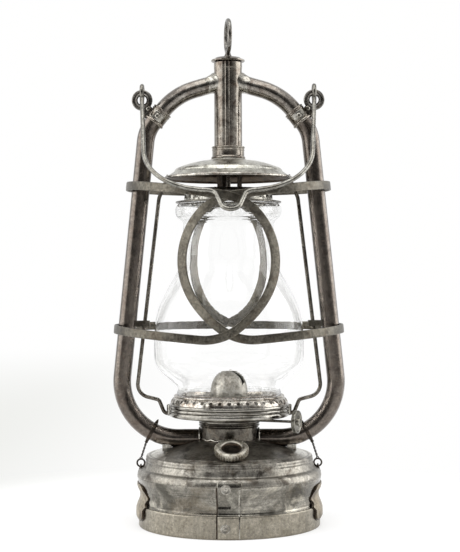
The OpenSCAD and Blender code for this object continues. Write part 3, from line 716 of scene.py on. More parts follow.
def pierced_cell(name: str, high: float, hole: tuple[float, float], pitch: float,
                 swell: float) -> Thing:
    """One cell of a pierced band: a plate one metre wide with an oval hole and a raised lip.

    Args:
        name: Name of the cell.
        high: Height of the band in millimetres.
        hole: Width and height of the hole.
        pitch: Width that the cell will have.
        swell: How far the lip stands out.

    Returns:
        The cell, in metres across its height.
    """
    count = 16
    bm = bmesh.new()
    layers = []
    for depth in (0.0, -PIERCED_SHEET):
        rings = []
        for share, lift in ((1.0, 0.0), (0.55, 0.15), (0.2, 0.9), (0.0, 1.0)):
            ring = []
            for k in range(count):
                c, s = math.cos(math.tau * k / count), math.sin(math.tau * k / count)
                m = max(abs(c), abs(s))
                edge = Vector((c / m * 0.5, s / m * high / 2))
                p = edge * share + Vector((c * hole[0] / 2 / pitch, s * hole[1] / 2)) * (1 - share)
                ring.append(bm.verts.new((p.x, (depth + swell * lift) * MM,
                                          (p.y + high / 2) * MM)))
            rings.append(ring)
        layers.append(rings)
    front, back = layers
    for k in range(count):
        n = (k + 1) % count
        for one, two in (*zip(front, front[1:]), *zip(back, back[1:]), (front[-1], back[-1])):
            bm.faces.new((one[k], one[n], two[n], two[k]))
        if abs(math.sin(math.tau * (k + 0.5) / count)) > 0.7:
            bm.faces.new((front[0][k], front[0][n], back[0][n], back[0][k]))
    return meshed(name, bm)


# ---- repeated pieces and bent wires, by geometry nodes ----


class Kind(Enum):
    """Geometry trees by what they make, with their sizes."""

    PIPE = {"Radius": 0.001, "Sides": 24}
    CIRCLE = {"Count": 24, "Radius": 0.01}
    SPOTS = {"Size": 1.0}
    PIERCED = {"Count": 24, "Radius": 0.03, "Lean": 0.0, "Flare": 0.0}


def pipe_tree(t: Tree, given: Any) -> Socket:
    """Runs a round section along a line of points.

    Args:
        t: The tree.
        given: Its inputs by name.

    Returns:
        The geometry.
    """
    line = t.out("GeometryNodeMeshToCurve", {"Mesh": given["Geometry"]})
    ring = t.out("GeometryNodeCurvePrimitiveCircle", {"Resolution": given["Sides"],
                 "Radius": given["Radius"]})
    return t.out("GeometryNodeCurveToMesh", {"Curve": line, "Profile Curve": ring,
                 "Fill Caps": True})


def many(t: Tree, given: Any, points: Socket, **more: Any) -> Socket:
    """Sets the given piece on points."""
    shape = t.add("GeometryNodeObjectInfo", {"Object": given["Piece"]}).outputs["Geometry"]
    return t.out("GeometryNodeInstanceOnPoints", {"Points": points, "Instance": shape, **more})


def circle_tree(t: Tree, given: Any) -> Socket:
    """Sets a piece round a circle, its X axis outward.

    Args:
        t: The tree.
        given: Its inputs by name.

    Returns:
        The geometry.
    """
    spots = t.out("GeometryNodePoints", {"Count": given["Count"]})
    index = t.out("GeometryNodeInputIndex")
    angle = t.mul(index, t.math("DIVIDE", math.tau, given["Count"]))
    place = t.out("ShaderNodeCombineXYZ", {"X": t.mul(t.math("COSINE", angle), given["Radius"]),
                  "Y": t.mul(t.math("SINE", angle), given["Radius"])})
    moved = t.out("GeometryNodeSetPosition", {"Geometry": spots, "Position": place})
    return many(t, given, moved, Rotation=t.out("ShaderNodeCombineXYZ", {"Z": angle}))


def spots_tree(t: Tree, given: Any) -> Socket:
    """Sets a piece on each point of a mesh, its Z axis along the point's way.

    Args:
        t: The tree.
        given: Its inputs by name.

    Returns:
        The geometry.
    """
    way = t.out("GeometryNodeInputNamedAttribute", {"Name": "way"}, data_type="FLOAT_VECTOR")
    turn = t.out("FunctionNodeAlignRotationToVector", {"Vector": way}, axis="Z")
    return many(t, given, given["Geometry"], Rotation=turn, Scale=given["Size"])


def pierced_tree(t: Tree, given: Any) -> Socket:
    """Repeats a flat cell along X and bends the row into a closed band.

    Args:
        t: The tree.
        given: Its inputs by name.

    Returns:
        The geometry.
    """
    pitch = t.math("DIVIDE", t.mul(given["Radius"], math.tau), given["Count"])
    row = t.out("GeometryNodeMeshLine", {"Count": given["Count"],
                "Offset": t.out("ShaderNodeCombineXYZ", {"X": pitch})}, mode="OFFSET")
    size = t.out("ShaderNodeCombineXYZ", {"X": pitch, "Y": 1.0, "Z": 1.0})
    cells = t.out("GeometryNodeRealizeInstances", {"Geometry": many(t, given, row, Scale=size)})
    x, y, z = t.axes(t.out("GeometryNodeInputPosition"))
    angle = t.math("DIVIDE", x, given["Radius"])
    reach = t.plus(t.plus(given["Radius"], y), t.mul(z, given["Lean"]))
    reach = t.plus(reach, t.mul(t.mul(z, z), given["Flare"]))
    bent = t.out("ShaderNodeCombineXYZ", {"X": t.mul(reach, t.math("COSINE", angle)),
                 "Y": t.mul(reach, t.math("SINE", angle)), "Z": z})
    closed = t.out("GeometryNodeSetPosition", {"Geometry": cells, "Position": bent})
    return t.out("GeometryNodeMergeByDistance", {"Geometry": closed, "Distance": 0.00002})


class Repeater:
    """Runs the geometry trees and returns plain meshes."""

    def __init__(self) -> None:
        """Builds the trees."""
        self.trees = {kind: self.tree(kind, make) for kind, make in (
            (Kind.PIPE, pipe_tree), (Kind.CIRCLE, circle_tree), (Kind.SPOTS, spots_tree),
            (Kind.PIERCED, pierced_tree))}

    def tree(self, kind: Kind, make: Callable[[Tree, Any], Socket]) -> bpy.types.NodeTree:
        """Geometry tree with a geometry and a piece socket, its sizes and real geometry.

        Args:
            kind: Which tree.
            make: Adds its nodes and returns their geometry.

        Returns:
            The tree.
        """
        group = bpy.data.node_groups.new(kind.name.lower(), "GeometryNodeTree")
        names = {int: "Int", float: "Float"}
        for key, value in {"Geometry": "Geometry", "Piece": "Object", **kind.value}.items():
            group.interface.new_socket(key, in_out="INPUT", socket_type="NodeSocket" + (
                value if isinstance(value, str) else names[type(value)]))
        group.interface.new_socket("Geometry", in_out="OUTPUT",
                                   socket_type="NodeSocketGeometry")
        t = Tree(group)
        made = make(t, t.add("NodeGroupInput").outputs)
        real = t.out("GeometryNodeRealizeInstances", {"Geometry": made})
        group.links.new(real, t.add("NodeGroupOutput").inputs[0])
        return group

    def run(self, kind: Kind, name: str, source: bpy.types.Mesh, sizes: dict[str, Any],
            piece: Thing | None = None, place: Matrix | None = None) -> Thing:
        """Evaluates one tree on a mesh.

        Args:
            kind: Which tree.
            name: Name of the result.
            source: Mesh in metres that the tree starts from.
            sizes: Values of the named inputs.
            piece: Object that is repeated; it is removed afterwards.
            place: Where the result's own frame lies, in metres.

        Returns:
            The result with a plain mesh.
        """
        carrier = linked(name + "_carrier", source)
        modifier = carrier.modifiers.new("nodes", "NODES")
        modifier.node_group = self.trees[kind]
        for item in modifier.node_group.interface.items_tree:
            if item.in_out == "INPUT" and item.name in sizes:
                modifier[item.identifier] = sizes[item.name]
            elif item.name == "Piece" and piece is not None:
                modifier[item.identifier] = piece
        bpy.context.view_layer.update()
        graph = bpy.context.evaluated_depsgraph_get()
        data = bpy.data.meshes.new_from_object(carrier.evaluated_get(graph))
        for used in (carrier, piece):
            if used is not None:
                bpy.data.objects.remove(used)
        if place is not None:
            data.transform(place)
        bm = bmesh.new()
        bm.from_mesh(data)
        bmesh.ops.recalc_face_normals(bm, faces=bm.faces)
        LOG.info("%s: %d faces from nodes", name, len(bm.faces))
        return shaded(meshed(name, bm), CREASE)

    def pipe(self, name: str, path: Sequence[Vector], radius: float, sides: int = 24) -> Thing:
        """Round bar along points in millimetres.

        Args:
            name: Name of the bar.
            path: Points of its middle line.
            radius: Its radius.
            sides: Sides of its section.

        Returns:
            The bar.
        """
        data = bpy.data.meshes.new(name + "_line")
        data.from_pydata([tuple(p * MM) for p in path],
                         [(i, i + 1) for i in range(len(path) - 1)], [])
        return self.run(Kind.PIPE, name, data, {"Radius": radius * MM, "Sides": sides})

    def circle(self, name: str, piece: Thing, count: int, radius: float, place: Matrix,
               middle: float) -> Thing:
        """A piece repeated round a circle at a height in a frame, its X axis outward.

        Args:
            name: Name of the result.
            piece: The piece; it is removed.
            count: How often it is repeated.
            radius: Radius of the circle.
            place: Frame that the circle lies in.
            middle: Height of the circle in that frame.

        Returns:
            The pieces as one object.
        """
        seat = place.copy()
        seat.translation = (place @ Vector((0, 0, middle))) * MM
        return self.run(Kind.CIRCLE, name, bpy.data.meshes.new(name + "_seat"),
                        {"Count": count, "Radius": radius * MM}, piece, seat)

    def spots(self, name: str, piece: Thing, seats: Sequence[tuple[Station, Station]]) -> Thing:
        """A piece set on points in millimetres, its Z axis along each direction.

        Args:
            name: Name of the result.
            piece: The piece; it is removed.
            seats: Points, each with its direction.

        Returns:
            The pieces as one object.
        """
        data = bpy.data.meshes.new(name + "_seats")
        data.from_pydata([tuple(Vector(place) * MM) for place, _ in seats], [], [])
        ways = data.attributes.new("way", "FLOAT_VECTOR", "POINT")
        for item, (_, way) in zip(ways.data, seats):
            item.vector = way
        return self.run(Kind.SPOTS, name, data, {"Size": 1.0}, piece)

    def pierced(self, name: str, high: float, hole: tuple[float, float], count: int,
                radius: float, swell: float, bend: tuple[float, float], low: float) -> Thing:
        """Pierced band on the Z axis.

        Args:
            name: Name of the band.
            high: Its height.
            hole: Width and height of its holes.
            count: Number of holes.
            radius: Radius at its foot.
            swell: How far the lips of the holes stand out.
            bend: Change of the radius with the height, and with its square in metres.
            low: Height of its foot.

        Returns:
            The band.
        """
        cell = pierced_cell("cell", high, hole, math.tau * radius / count, swell)
        sizes = {"Count": count, "Radius": radius * MM, "Lean": bend[0], "Flare": bend[1]}
        return self.run(Kind.PIERCED, name, bpy.data.meshes.new(name + "_seat"), sizes, cell,
                        Matrix.Translation((0, 0, low * MM)))


# ---- the finishes of the lantern ----


def palette() -> SimpleNamespace:
    """Builds every finish of the lantern.

    Returns:
        The finishes by their short names.
    """
    kinds = dict(
        tin=AgedMetal("tin_tank", (0.265, 0.252, 0.222), (0.1, 0.094, 0.08),
            (0.52, 0.485, 0.405), (0.185, 0.147, 0.098), 42, 0.13, 0.42, smear=0.45, rim=0.8,
            grit=0.35, light_share=0.75, grain=Grain.LEVEL, seed=1.6),
        tank_top=AgedMetal("tin_top", (0.285, 0.27, 0.238), (0.08, 0.071, 0.06),
            (0.74, 0.72, 0.66), (0.13, 0.1, 0.068), 60, 0.28, 0.5, pits=0.8, light_share=0.25,
            worn_from=0.0425, worn_above=0.0476, seed=2.0),
        band=AgedMetal("brushed_band", (0.31, 0.285, 0.235), (0.22, 0.2, 0.16),
            (0.42, 0.39, 0.325), (0.2, 0.165, 0.115), 45, 0.3, 0.5, pits=0.9, smear=0.2, rim=0.6,
            grit=0.55, grain=Grain.UPRIGHT, grain_depth=0.2, grain_scale=700.0, seed=3.0),
        strap=AgedMetal("strap_tin", (0.2, 0.19, 0.165), (0.075, 0.07, 0.06),
            (0.4, 0.385, 0.34), (0.16, 0.125, 0.08), 60, 0.14, 0.4, smear=0.4, rim=0.5, seed=24.0),
        plate=AgedMetal("dull_plate", (0.33, 0.288, 0.22), (0.14, 0.115, 0.083),
            (0.5, 0.45, 0.355), (0.15, 0.1, 0.055), 90, 0.38, 0.58, seed=4.0),
        tube=AgedMetal("dark_tube_steel", (0.125, 0.105, 0.087), (0.072, 0.057, 0.046),
            (0.19, 0.168, 0.145), (0.09, 0.056, 0.037), 150, 0.2, 0.32, dent=0.08, pits=0.7,
            smear=0.1, rim=0.1, grit=0.35, stain_share=0.5, light_share=0.3, coat=0.6, seed=5.0),
        arch=AgedMetal("worn_tube_steel", (0.235, 0.213, 0.187), (0.09, 0.074, 0.062),
            (0.56, 0.54, 0.5), (0.1, 0.066, 0.042), 110, 0.15, 0.34, dent=0.14, smear=0.2,
            stain_share=0.5, light_share=0.6, coat=0.5, seed=20.0),
        centre=AgedMetal("centre_steel", (0.27, 0.248, 0.215), (0.115, 0.096, 0.08),
            (0.5, 0.475, 0.43), (0.135, 0.084, 0.056), 90, 0.15, 0.34, dent=0.14, smear=0.2,
            grain=Grain.UPRIGHT, seed=6.0),
        ear=AgedMetal("ear_steel", (0.17, 0.162, 0.148), (0.07, 0.064, 0.056),
            (0.45, 0.44, 0.41), (0.11, 0.08, 0.055), 130, 0.2, 0.4, dent=0.1, seed=17.0),
        # dark brown inside the hood: smoke stain and painted shade
        lining=AgedMetal("hood_smoke_and_shade", (0.075, 0.056, 0.038), (0.03, 0.022, 0.016),
            (0.2, 0.165, 0.12), (0.075, 0.04, 0.022), 110, 0.4, 0.62, stain_share=0.8,
            light_share=0.3, seed=18.0),
        chamber=AgedMetal("chamber_steel", (0.12, 0.11, 0.094), (0.04, 0.035, 0.03),
            (0.27, 0.255, 0.225), (0.09, 0.063, 0.04), 75, 0.16, 0.4, seed=19.0),
        guard=AgedMetal("guard_satin", (0.122, 0.112, 0.092), (0.066, 0.06, 0.049),
            (0.2, 0.188, 0.16), (0.085, 0.06, 0.04), 150, 0.34, 0.5, dent=0.08, pits=0.9,
            smear=0.12, grit=0.6, seed=7.0),
        wire=AgedMetal("drawn_wire", (0.17, 0.155, 0.132), (0.08, 0.07, 0.058),
            (0.28, 0.265, 0.235), (0.09, 0.062, 0.042), 90, 0.22, 0.4, dent=0.08, seed=8.0),
        # rusty wire; the same finish also darkens the sheets of painted shade under the side plates
        # and in the cap's recess
        rust_wire=AgedMetal("rusty_wire_and_shade", (0.062, 0.052, 0.042), (0.03, 0.026, 0.022),
            (0.15, 0.13, 0.105), (0.075, 0.044, 0.026), 180, 0.35, 0.55, dent=0.05, stain_share=0.7,
            seed=9.0),
        bail=AgedMetal("bail_wire", (0.235, 0.228, 0.205), (0.13, 0.125, 0.11),
            (0.38, 0.37, 0.34), (0.14, 0.112, 0.08), 70, 0.2, 0.36, dent=0.06, seed=10.0),
        hood=AgedMetal("hood_plate", (0.55, 0.545, 0.495), (0.26, 0.25, 0.215),
            (0.8, 0.79, 0.74), (0.22, 0.18, 0.125), 110, 0.26, 0.46, pits=0.9, rim=0.4, seed=11.0),
        crown=AgedMetal("crown_plate", (0.54, 0.53, 0.485), (0.28, 0.268, 0.235),
            (0.8, 0.79, 0.74), (0.2, 0.165, 0.12), 140, 0.22, 0.42, seed=12.0),
        edge=AgedMetal("edge_plate", (0.19, 0.18, 0.16), (0.075, 0.068, 0.058),
            (0.4, 0.385, 0.35), (0.11, 0.082, 0.055), 120, 0.2, 0.4, seed=21.0),
        gallery=AgedMetal("gallery_sheet", (0.5, 0.475, 0.43), (0.18, 0.163, 0.138),
            (0.84, 0.82, 0.76), (0.2, 0.115, 0.07), 150, 0.14, 0.4, pits=0.9, rim=0.7,
            stain_share=0.5, seed=13.0),
        rim=AgedMetal("ring_nickel", (0.33, 0.318, 0.288), (0.16, 0.15, 0.13),
            (0.54, 0.53, 0.485), (0.15, 0.118, 0.08), 60, 0.16, 0.34, grain=Grain.LEVEL, seed=22.0),
        dome=AgedMetal("dome_plate", (0.43, 0.412, 0.37), (0.22, 0.206, 0.18),
            (0.62, 0.595, 0.55), (0.18, 0.145, 0.1), 170, 0.36, 0.52, dent=0.08, pits=0.9,
            smear=0.1, seed=14.0),
        knurl=AgedMetal("knurled_cap", (0.56, 0.535, 0.47), (0.24, 0.215, 0.17),
            (0.84, 0.81, 0.74), (0.15, 0.12, 0.08), 160, 0.42, 0.58, dent=0.05, crevice_dirt_and_shade=0.15,
            seed=15.0),
        knob=AgedMetal("knob_grey", (0.23, 0.222, 0.195), (0.11, 0.102, 0.086),
            (0.4, 0.39, 0.35), (0.12, 0.096, 0.068), 170, 0.26, 0.46, dent=0.05, seed=23.0),
        solder=AgedMetal("old_solder", (0.42, 0.405, 0.365), (0.15, 0.135, 0.112),
            (0.72, 0.71, 0.67), (0.14, 0.1, 0.068), 200, 0.16, 0.38, seed=16.0),
        glass=BlownGlass("clear_glass"),
        cotton=WovenCotton("wick_cotton"),
        cork=DarkCork("seal_ring"),
    )
    return SimpleNamespace(**{key: kind.build() for key, kind in kinds.items()})


# ---- sub-assemblies ----


@dataclass
class Assembly:
    """Base of the sub-assemblies, which build and dress their pieces; their fields are sizes."""

    finish: SimpleNamespace
    repeat: Repeater
    home: ClassVar[Body] = Body.FRAME

    def wear(self, piece: Thing, finish: Finish, slot: Slot, *nodes: str,
             body: Body | None = None) -> None:
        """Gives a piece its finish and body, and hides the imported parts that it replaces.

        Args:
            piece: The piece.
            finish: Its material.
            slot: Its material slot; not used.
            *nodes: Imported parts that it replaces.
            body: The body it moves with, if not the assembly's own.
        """
        body = body or self.home
        piece.data.materials.clear()
        piece.data.materials.append(finish)
        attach(piece, body.value)
        if nodes:
            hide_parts(*nodes)
        LOG.info("%s: %d faces on %s", piece.name, len(piece.data.polygons), body.value)

    def pair(self, left: Thing, right_name: str, finish: Finish, slot: Slot,
             *nodes: str) -> None:
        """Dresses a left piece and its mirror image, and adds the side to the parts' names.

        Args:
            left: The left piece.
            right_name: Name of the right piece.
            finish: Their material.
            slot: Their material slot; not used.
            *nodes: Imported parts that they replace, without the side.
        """
        right = mirrored(left, right_name)
        self.wear(left, finish, slot, *(node + "_left" for node in nodes))
        self.wear(right, finish, slot, *(node + "_right" for node in nodes))


@dataclass
class FuelTank(Assembly):
    """Round tank with its base band, waist, shoulder, raised ring and cone top."""

    base_r: float = 62.4
    waist_r: float = 60.4
    shoulder_r: float = 63.4
    band_h: float = 15.0
    shoulder_z: float = 34.0
    ring_r: float = 57.3
    ring_z: float = 48.0
    chamber_r: float = 20.2
    chamber_z: float = 58.6
    sheet: float = 1.0
    strap_w: float = 15.8
    plate_half: float = 27.0

    def build(self) -> None:
        """Makes and dresses the tank's pieces."""
        f, r, h = self.finish, self.base_r, self.band_h
        wall = revolved("tank_wall_shape", band(self.wall_line(), -self.sheet), 144,
                        shape=hand_beaten(0.12, 5.0), soft=0.12)
        self.wear(wall, f.tin, Slot.TIN, "tank_wall")
        foot = [*at(r, 0.0, (-1.1, 0.0), (-0.35, 0.0), (-0.05, 0.4), (0, 1.4), (-0.1, h * 0.5)),
                *at(r, h, (-0.05, -2.0), (0, -1.0), (-0.15, -0.3), (-0.6, 0), (-1.1, 0))]
        self.wear(revolved("base_band_shape", foot, 144, soft=0.3), f.band, Slot.PALE, "base_band")
        top = revolved("tank_top_shape", band(self.top_line(), -self.sheet * 0.9), 144,
                       shape=hand_beaten(0.1, 3.0), soft=0.15)
        self.wear(top, f.tank_top, Slot.TIN, "tank_top")
        below = [(r, 0.6), (r, h - 0.8), (r - 0.3, h)]
        waist = self.wall_line()[2:]
        self.wear(self.strap("seam_strap_shape", [below[2], *waist, *self.top_line()[1:4]]),
                  f.strap, Slot.TIN, "seam_strap")
        self.wear(self.strap("band_lap_shape", below), f.band, Slot.PALE)
        half = self.strap_half()
        for name, start, width, proud, finish in (
                ("seam_gap", -half - 0.7, 0.85, 0.42, f.rust_wire),
                ("seam_fold", half * 0.76, 0.7, 0.85, f.solder)):
            line = [(r, 0.8), *below[1:], *waist]
            skin = [*((x + proud, z) for x, z in line), *((x - 0.2, z) for x, z in line[::-1])]
            self.wear(revolved(name, skin, 3, -90 + start, width), finish, Slot.TIN)
        # Painted shadow: a dark sheet under each side plate, reaching just past its edges.
        self.pair(self.side_plate("plate_gap_left", 1.5, 0.75, 0.9), "plate_gap_right",
                  f.rust_wire, Slot.PALE)
        self.pair(self.side_plate("side_plate_left_shape"), "side_plate_right_shape", f.plate,
                  Slot.PALE, "side_plate")
        head = [(0.0, 0.0), (3.3, 0.0), (3.3, 0.05), (2.9, 0.3), (2.4, 0.32), (2.0, 0.1),
                (1.55, 0.1), (1.45, 0.5), (1.05, 0.82), (0.5, 0.95), (0.0, 1.0)]
        rivets = self.repeat.spots("seam_rivet_heads", revolved("rivet_head", head, 32),
                                   [((-2.2, -self.shoulder_r - 0.45, 32.8), (0, -1, 0)),
                                    ((-2.6, -r - 0.3, 7.2), (0, -1, 0))])
        self.wear(rivets, f.dome, Slot.WIRE, "seam_rivets")

    def strap_half(self) -> float:
        """Degrees from the middle of the strap to its edge."""
        return math.degrees(math.asin(self.strap_w / 2 / self.base_r))

    def wall_line(self) -> Line:
        """Outer side of the wall from the band's foot to the shoulder.

        Returns:
            The points.
        """
        foot, w, s = self.base_r - 1.1, self.waist_r, self.shoulder_r
        return [(foot, 1.2), (foot, self.band_h + 0.3),
                *at(w, self.band_h, (0.75, 0.45), (0.3, 0.85), (0.05, 1.8), (-0.05, 4.0)),
                *at(w, 0, (0, 21.5), (0.3, 24.0), (0.9, 26.4), (1.7, 28.6)),
                *at(s, 0, (-0.7, 30.4), (-0.2, 32.0), (0, 33.2), (0, self.shoulder_z))]

    def top_line(self) -> Line:
        """Outer side of the top from the shoulder to the chamber.

        Returns:
            The points.
        """
        s, z, r, t = self.shoulder_r, self.shoulder_z, self.ring_r, self.ring_z
        return [*at(s, z, (0, 0), (-0.1, 0.9), (-0.4, 2.0), (-0.85, 3.1), (-1.4, 4.0),
                    (-2.2, 4.7), (-3.4, 5.1)),
                *at(r, z, (1.9, 5.35), (1.35, 5.8), (1.1, 6.6), (0.75, 7.8), (0.3, 9.2)),
                *at(r, t, (0, -4.2), (0.28, -3.6), (0.28, -3.0), (0, -2.4), (0, -1.3),
                    (-0.35, -0.3), (-1.3, 0.2), (-2.3, -0.25), (-3.0, -0.3), (-3.6, 0.1)),
                (51.6, 49.25), (50.9, 49.75), (50.1, 49.6), (49.4, 49.75), (28.2, 56.2),
                (27.4, 56.75), (26.6, 56.75), (25.8, 56.95), (self.chamber_r + 0.1, self.chamber_z)]

    def strap(self, name: str, line: Line) -> Thing:
        """Part of the lap strap over the wall's seam, on a line of the wall.

        Args:
            name: Name of the piece.
            line: Surface that it lies on.

        Returns:
            The piece.
        """
        half = self.strap_half()
        skin = [*at(0.75, 0, *line), *at(-0.1, 0, *line[::-1])]

        def folded(a: float, _r: float, z: float) -> float:
            """Lowers the strap's edges and raises its folded right side.

            Args:
                a: Angle.
                _r: Radius, not used.
                z: Height.

            Returns:
                Change of the radius.
            """
            u = (math.degrees(a) + 90.0) / half
            edge = min(1.0, (1.0 - abs(u)) * 16.0)
            fold = 0.3 * math.exp(-((u - 0.8) / 0.06) ** 2) if z > self.band_h - 2 else 0.0
            step = -0.3 * math.exp(-((z - 21.5) / 0.35) ** 2) if u < 0.1 else 0.0
            dish = -0.3 * math.exp(-(((u + 0.33) * 6.5) ** 2 + ((z - 7.2) / 3.2) ** 2))
            return (edge - 1.0) * 0.3 + fold + step + dish - 0.3
        return revolved(name, skin, 64, -90 - half, 2 * half, shape=folded, soft=0.3)

    def side_plate(self, name: str, grow: float = 0.0, deeper: float = 0.0,
                   longer: float = 0.0) -> Thing:
        """Left plate, or the dark sheet behind it that paints the plate's shadow: a pressed bracket
        with a scalloped edge.

        Args:
            name: Name of the piece.
            grow: Degrees by which each edge reaches further.
            deeper: How far it lies under the plate, in millimetres.
            longer: How far it passes the plate's ends.

        Returns:
            The piece.
        """
        line = [(63.15, 5.3), (64.1, 7.2), (64.2, 8.6), (64.2, 10.0), (64.15, 11.4),
                (64.1, 12.8), (63.7, 14.2), (63.2, 15.6), (62.6, 17.0), (62.0, 18.4),
                (61.7, 19.5), (61.5, 20.6), (61.5, 21.6), (61.5, 22.6), (61.8, 23.6),
                (62.2, 24.6), (62.7, 25.5), (63.1, 26.4), (63.5, 28.0), (63.4, 29.4)]
        across, last = 36, len(line) - 1
        bm = bmesh.new()
        grids = []
        for deep in (0.0, 0.85):
            grid = []
            for i, (r, z) in enumerate(line):
                wide = min(self.edge_at(z), self.plate_half) + grow
                z += longer * ((i == last) - (i == 0))
                row = []
                for j in range(across + 1):
                    u = 2 * j / across - 1
                    a = math.radians(180 + wide * u)
                    rad = r - deeper - deep - 0.35 * math.exp(-((abs(u) - 0.9) / 0.12) ** 2)
                    row.append(bm.verts.new((rad * math.cos(a), rad * math.sin(a), z)))
                grid.append(row)
            for one, two in zip(grid, grid[1:]):
                for j in range(across):
                    bm.faces.new((one[j], one[j + 1], two[j + 1], two[j]))
            grids.append(grid)
        front, back = grids
        rim = [(0, j) for j in range(across)] + [(i, across) for i in range(last)]
        rim += [(last, j) for j in range(across, 0, -1)] + [(i, 0) for i in range(last, 0, -1)]
        for (i, j), (m, n) in zip(rim, [*rim[1:], rim[0]]):
            bm.faces.new((front[i][j], back[i][j], back[m][n], front[m][n]))
        return finished(name, bm)

    def edge_at(self, z: float) -> float:
        """Angle from the plate's middle to its scalloped edge at a height.

        Args:
            z: The height.

        Returns:
            The angle in degrees.
        """
        knots = [(5.3, 17.0), (7.2, 22.0), (10.0, 23.4), (12.8, 23.0), (15.6, 26.0), (17.6, 23.0),
                 (21.0, 27.0), (24.0, 23.6), (28.0, 20.4), (29.4, 16.5)]
        for (z0, a0), (z1, a1) in zip(knots, knots[1:]):
            if z <= z1:
                return a0 + (a1 - a0) * (z - z0) / (z1 - z0)
        return knots[-1][1]


# ---- tubes and bail ----


@dataclass
class AirTubes(Assembly):
    """Side tubes, collars with the bail's ears, and the arched tubes over the hood."""

    tube_r: float = 6.15
    arch_r: float = 5.95
    chamber_wall: float = 19.2
    run_z: float = 59.0
    run: float = 15.5
    low_bend_r: float = 39.0
    lean: float = 5.84
    side_len: float = 162.4
    neck_bend_r: float = 25.0
    collar_slope: float = 51.3
    collar_len: float = 10.4
    arch_bend_r: float = 43.2
    arch_end: float = 16.0
    arch_run: float = 15.0
    centre_r: float = 9.6
    ear_x: float = 59.3
    ear_z: float = 292.0
    ear_r: float = 7.2
    ear_hole: float = 3.1

    def build(self) -> None:
        """Makes and dresses both sides."""
        f, pipe = self.finish, self.repeat.pipe
        path, arch = self.tube_path(), self.arch_path()
        self.pair(pipe("side_tube_left_pipe", upright(path), self.tube_r, 48),
                  "side_tube_right_shape", f.tube, Slot.TUBE, "side_tube")
        self.pair(pipe("arch_tube_left_pipe", upright(arch), self.arch_r, 48),
                  "arch_tube_right_shape", f.arch, Slot.TUBE, "arch_tube")
        x, z, head = path[-1]
        cuff = frame_at((x, 0, z), self.heading(head))
        r, half = self.tube_r, self.collar_len / 2
        outline = [*at(r, -half, (0.02, -0.2), (0.7, -0.2), (1.2, 0.3), (1.25, 0.9), (0.95, 1.5),
                       (0.65, 1.8)), (r + 0.6, 0.4),
                   *at(r, half, (0.62, -2.6), (0.95, -2.2), (0.98, -1.7), (0.6, -1.35),
                       (0.62, -1.1), (1.0, -0.75), (1.05, -0.2), (0.6, 0.2), (0.02, 0.2))]
        self.pair(revolved("tube_collar_left_cuff", outline, 64, place=cuff, soft=0.25),
                  "tube_collar_right_shape", f.centre, Slot.TIN, "tube_collar")
        self.pair(self.ear(x, z), "bail_ear_right_shape", f.ear, Slot.TIN, "bail_ear")
        tab = at(r, 0, (0.55, -3.2), (1.15, -3.2), (1.2, -2.9), (1.2, 2.3), (1.15, 2.6),
                 (0.55, 2.6))
        self.pair(revolved("collar_tab_left", tab, 16, 233, 74, cuff, soft=0.25),
                  "collar_tab_right", f.solder, Slot.TIN)
        self.wear(self.rivets(x, z), f.solder, Slot.WIRE, "collar_rivets")
        self.wear(self.ferrules(*arch[-1]), f.solder, Slot.TIN, "arch_ferrules")

    def heading(self, degrees: float) -> Station:
        """Unit vector of a heading in the XZ plane."""
        return (math.cos(math.radians(degrees)), 0, math.sin(math.radians(degrees)))

    def tube_path(self) -> list[Station]:
        """Axis of the left side tube, to the middle of its collar.

        Returns:
            The stations.
        """
        turn = 180 - (90 + self.lean) - self.collar_slope
        return walk((-self.chamber_wall, self.run_z, 180), [
            (self.run, self.low_bend_r, -(90 + self.lean)),
            (self.side_len, self.neck_bend_r, -turn), (self.collar_len / 2 + 0.1, 0, 0)])

    def arch_path(self) -> list[Station]:
        """Axis of the left arch: bent above the collar, then straight into the centre tube.

        Returns:
            The stations.
        """
        return walk(self.tube_path()[-1], [
            (self.collar_len / 2, self.arch_bend_r, self.arch_end - self.collar_slope),
            (self.arch_run, 0, 0)])

    def ear(self, x: float, z: float) -> Thing:
        """Stamped eye for the bail on a short arm from the collar's middle at x and z.

        Args:
            x: Where the collar's middle lies.
            z: Height of the collar's middle.

        Returns:
            The piece.
        """
        r, h = self.ear_r, self.ear_hole
        upper = [*at(h, 0, (0, 0.75), (0.35, 1.15), (0.9, 1.2), (1.4, 0.8)),
                 *at(r, 0, (-1.9, 0.72), (-1.4, 1.1), (-0.7, 1.2), (-0.1, 0.8), (0, 0.3))]
        disc = revolved("ear_disc", [*upper, *((a, -b) for a, b in upper[::-1])], 64,
                        place=frame_at((-self.ear_x, 0, self.ear_z), (0, -1, 0), (0, 0, 1)))
        a, b = -self.ear_x, self.ear_z
        arm = rounded([*at(a, b, (-2.0, -6.3)),
                       *at(x, z, (-6.4, -5.0), (-4.4, -1.0), (-4.0, 6.0), (-5.5, 7.5)),
                       *at(a, b, (4.4, 5.4), (6.4, 1.6), (4.6, -3.4), (1.2, -5.7))], 0.8)
        plate = swept("ear_arm", [[Vector((px, y, pz)) for px, pz in arm]
                                  for y in (-0.72, -0.6, 0.6, 0.72)])
        return joined("bail_ear_left_plate", disc, plate)

    def rivets(self, x: float, z: float) -> Thing:
        """Round heads on the ears and on the tabs beside the collars' middles.

        Args:
            x: Where the collar's middle lies.
            z: Height of the collar's middle.

        Returns:
            The heads as one piece.
        """
        head = revolved("collar_rivet", [(0.0, -0.3), (1.75, -0.3), (1.75, 0.05), (1.5, 0.4),
                        (1.15, 0.62), (0.75, 0.55), (0.6, 0.3), (0.0, 0.25)], 24)
        seats = []
        for side in (1, -1):
            for face in (-1, 1):
                seats.append(((side * (x - 6.6), face * 0.8, z + 5.4), (0, face, 0)))
            seats.append(((side * (x - 0.2), -self.tube_r - 1.15, z - 0.2), (0, -1, 0)))
        return self.repeat.spots("collar_rivet_heads", head, seats)

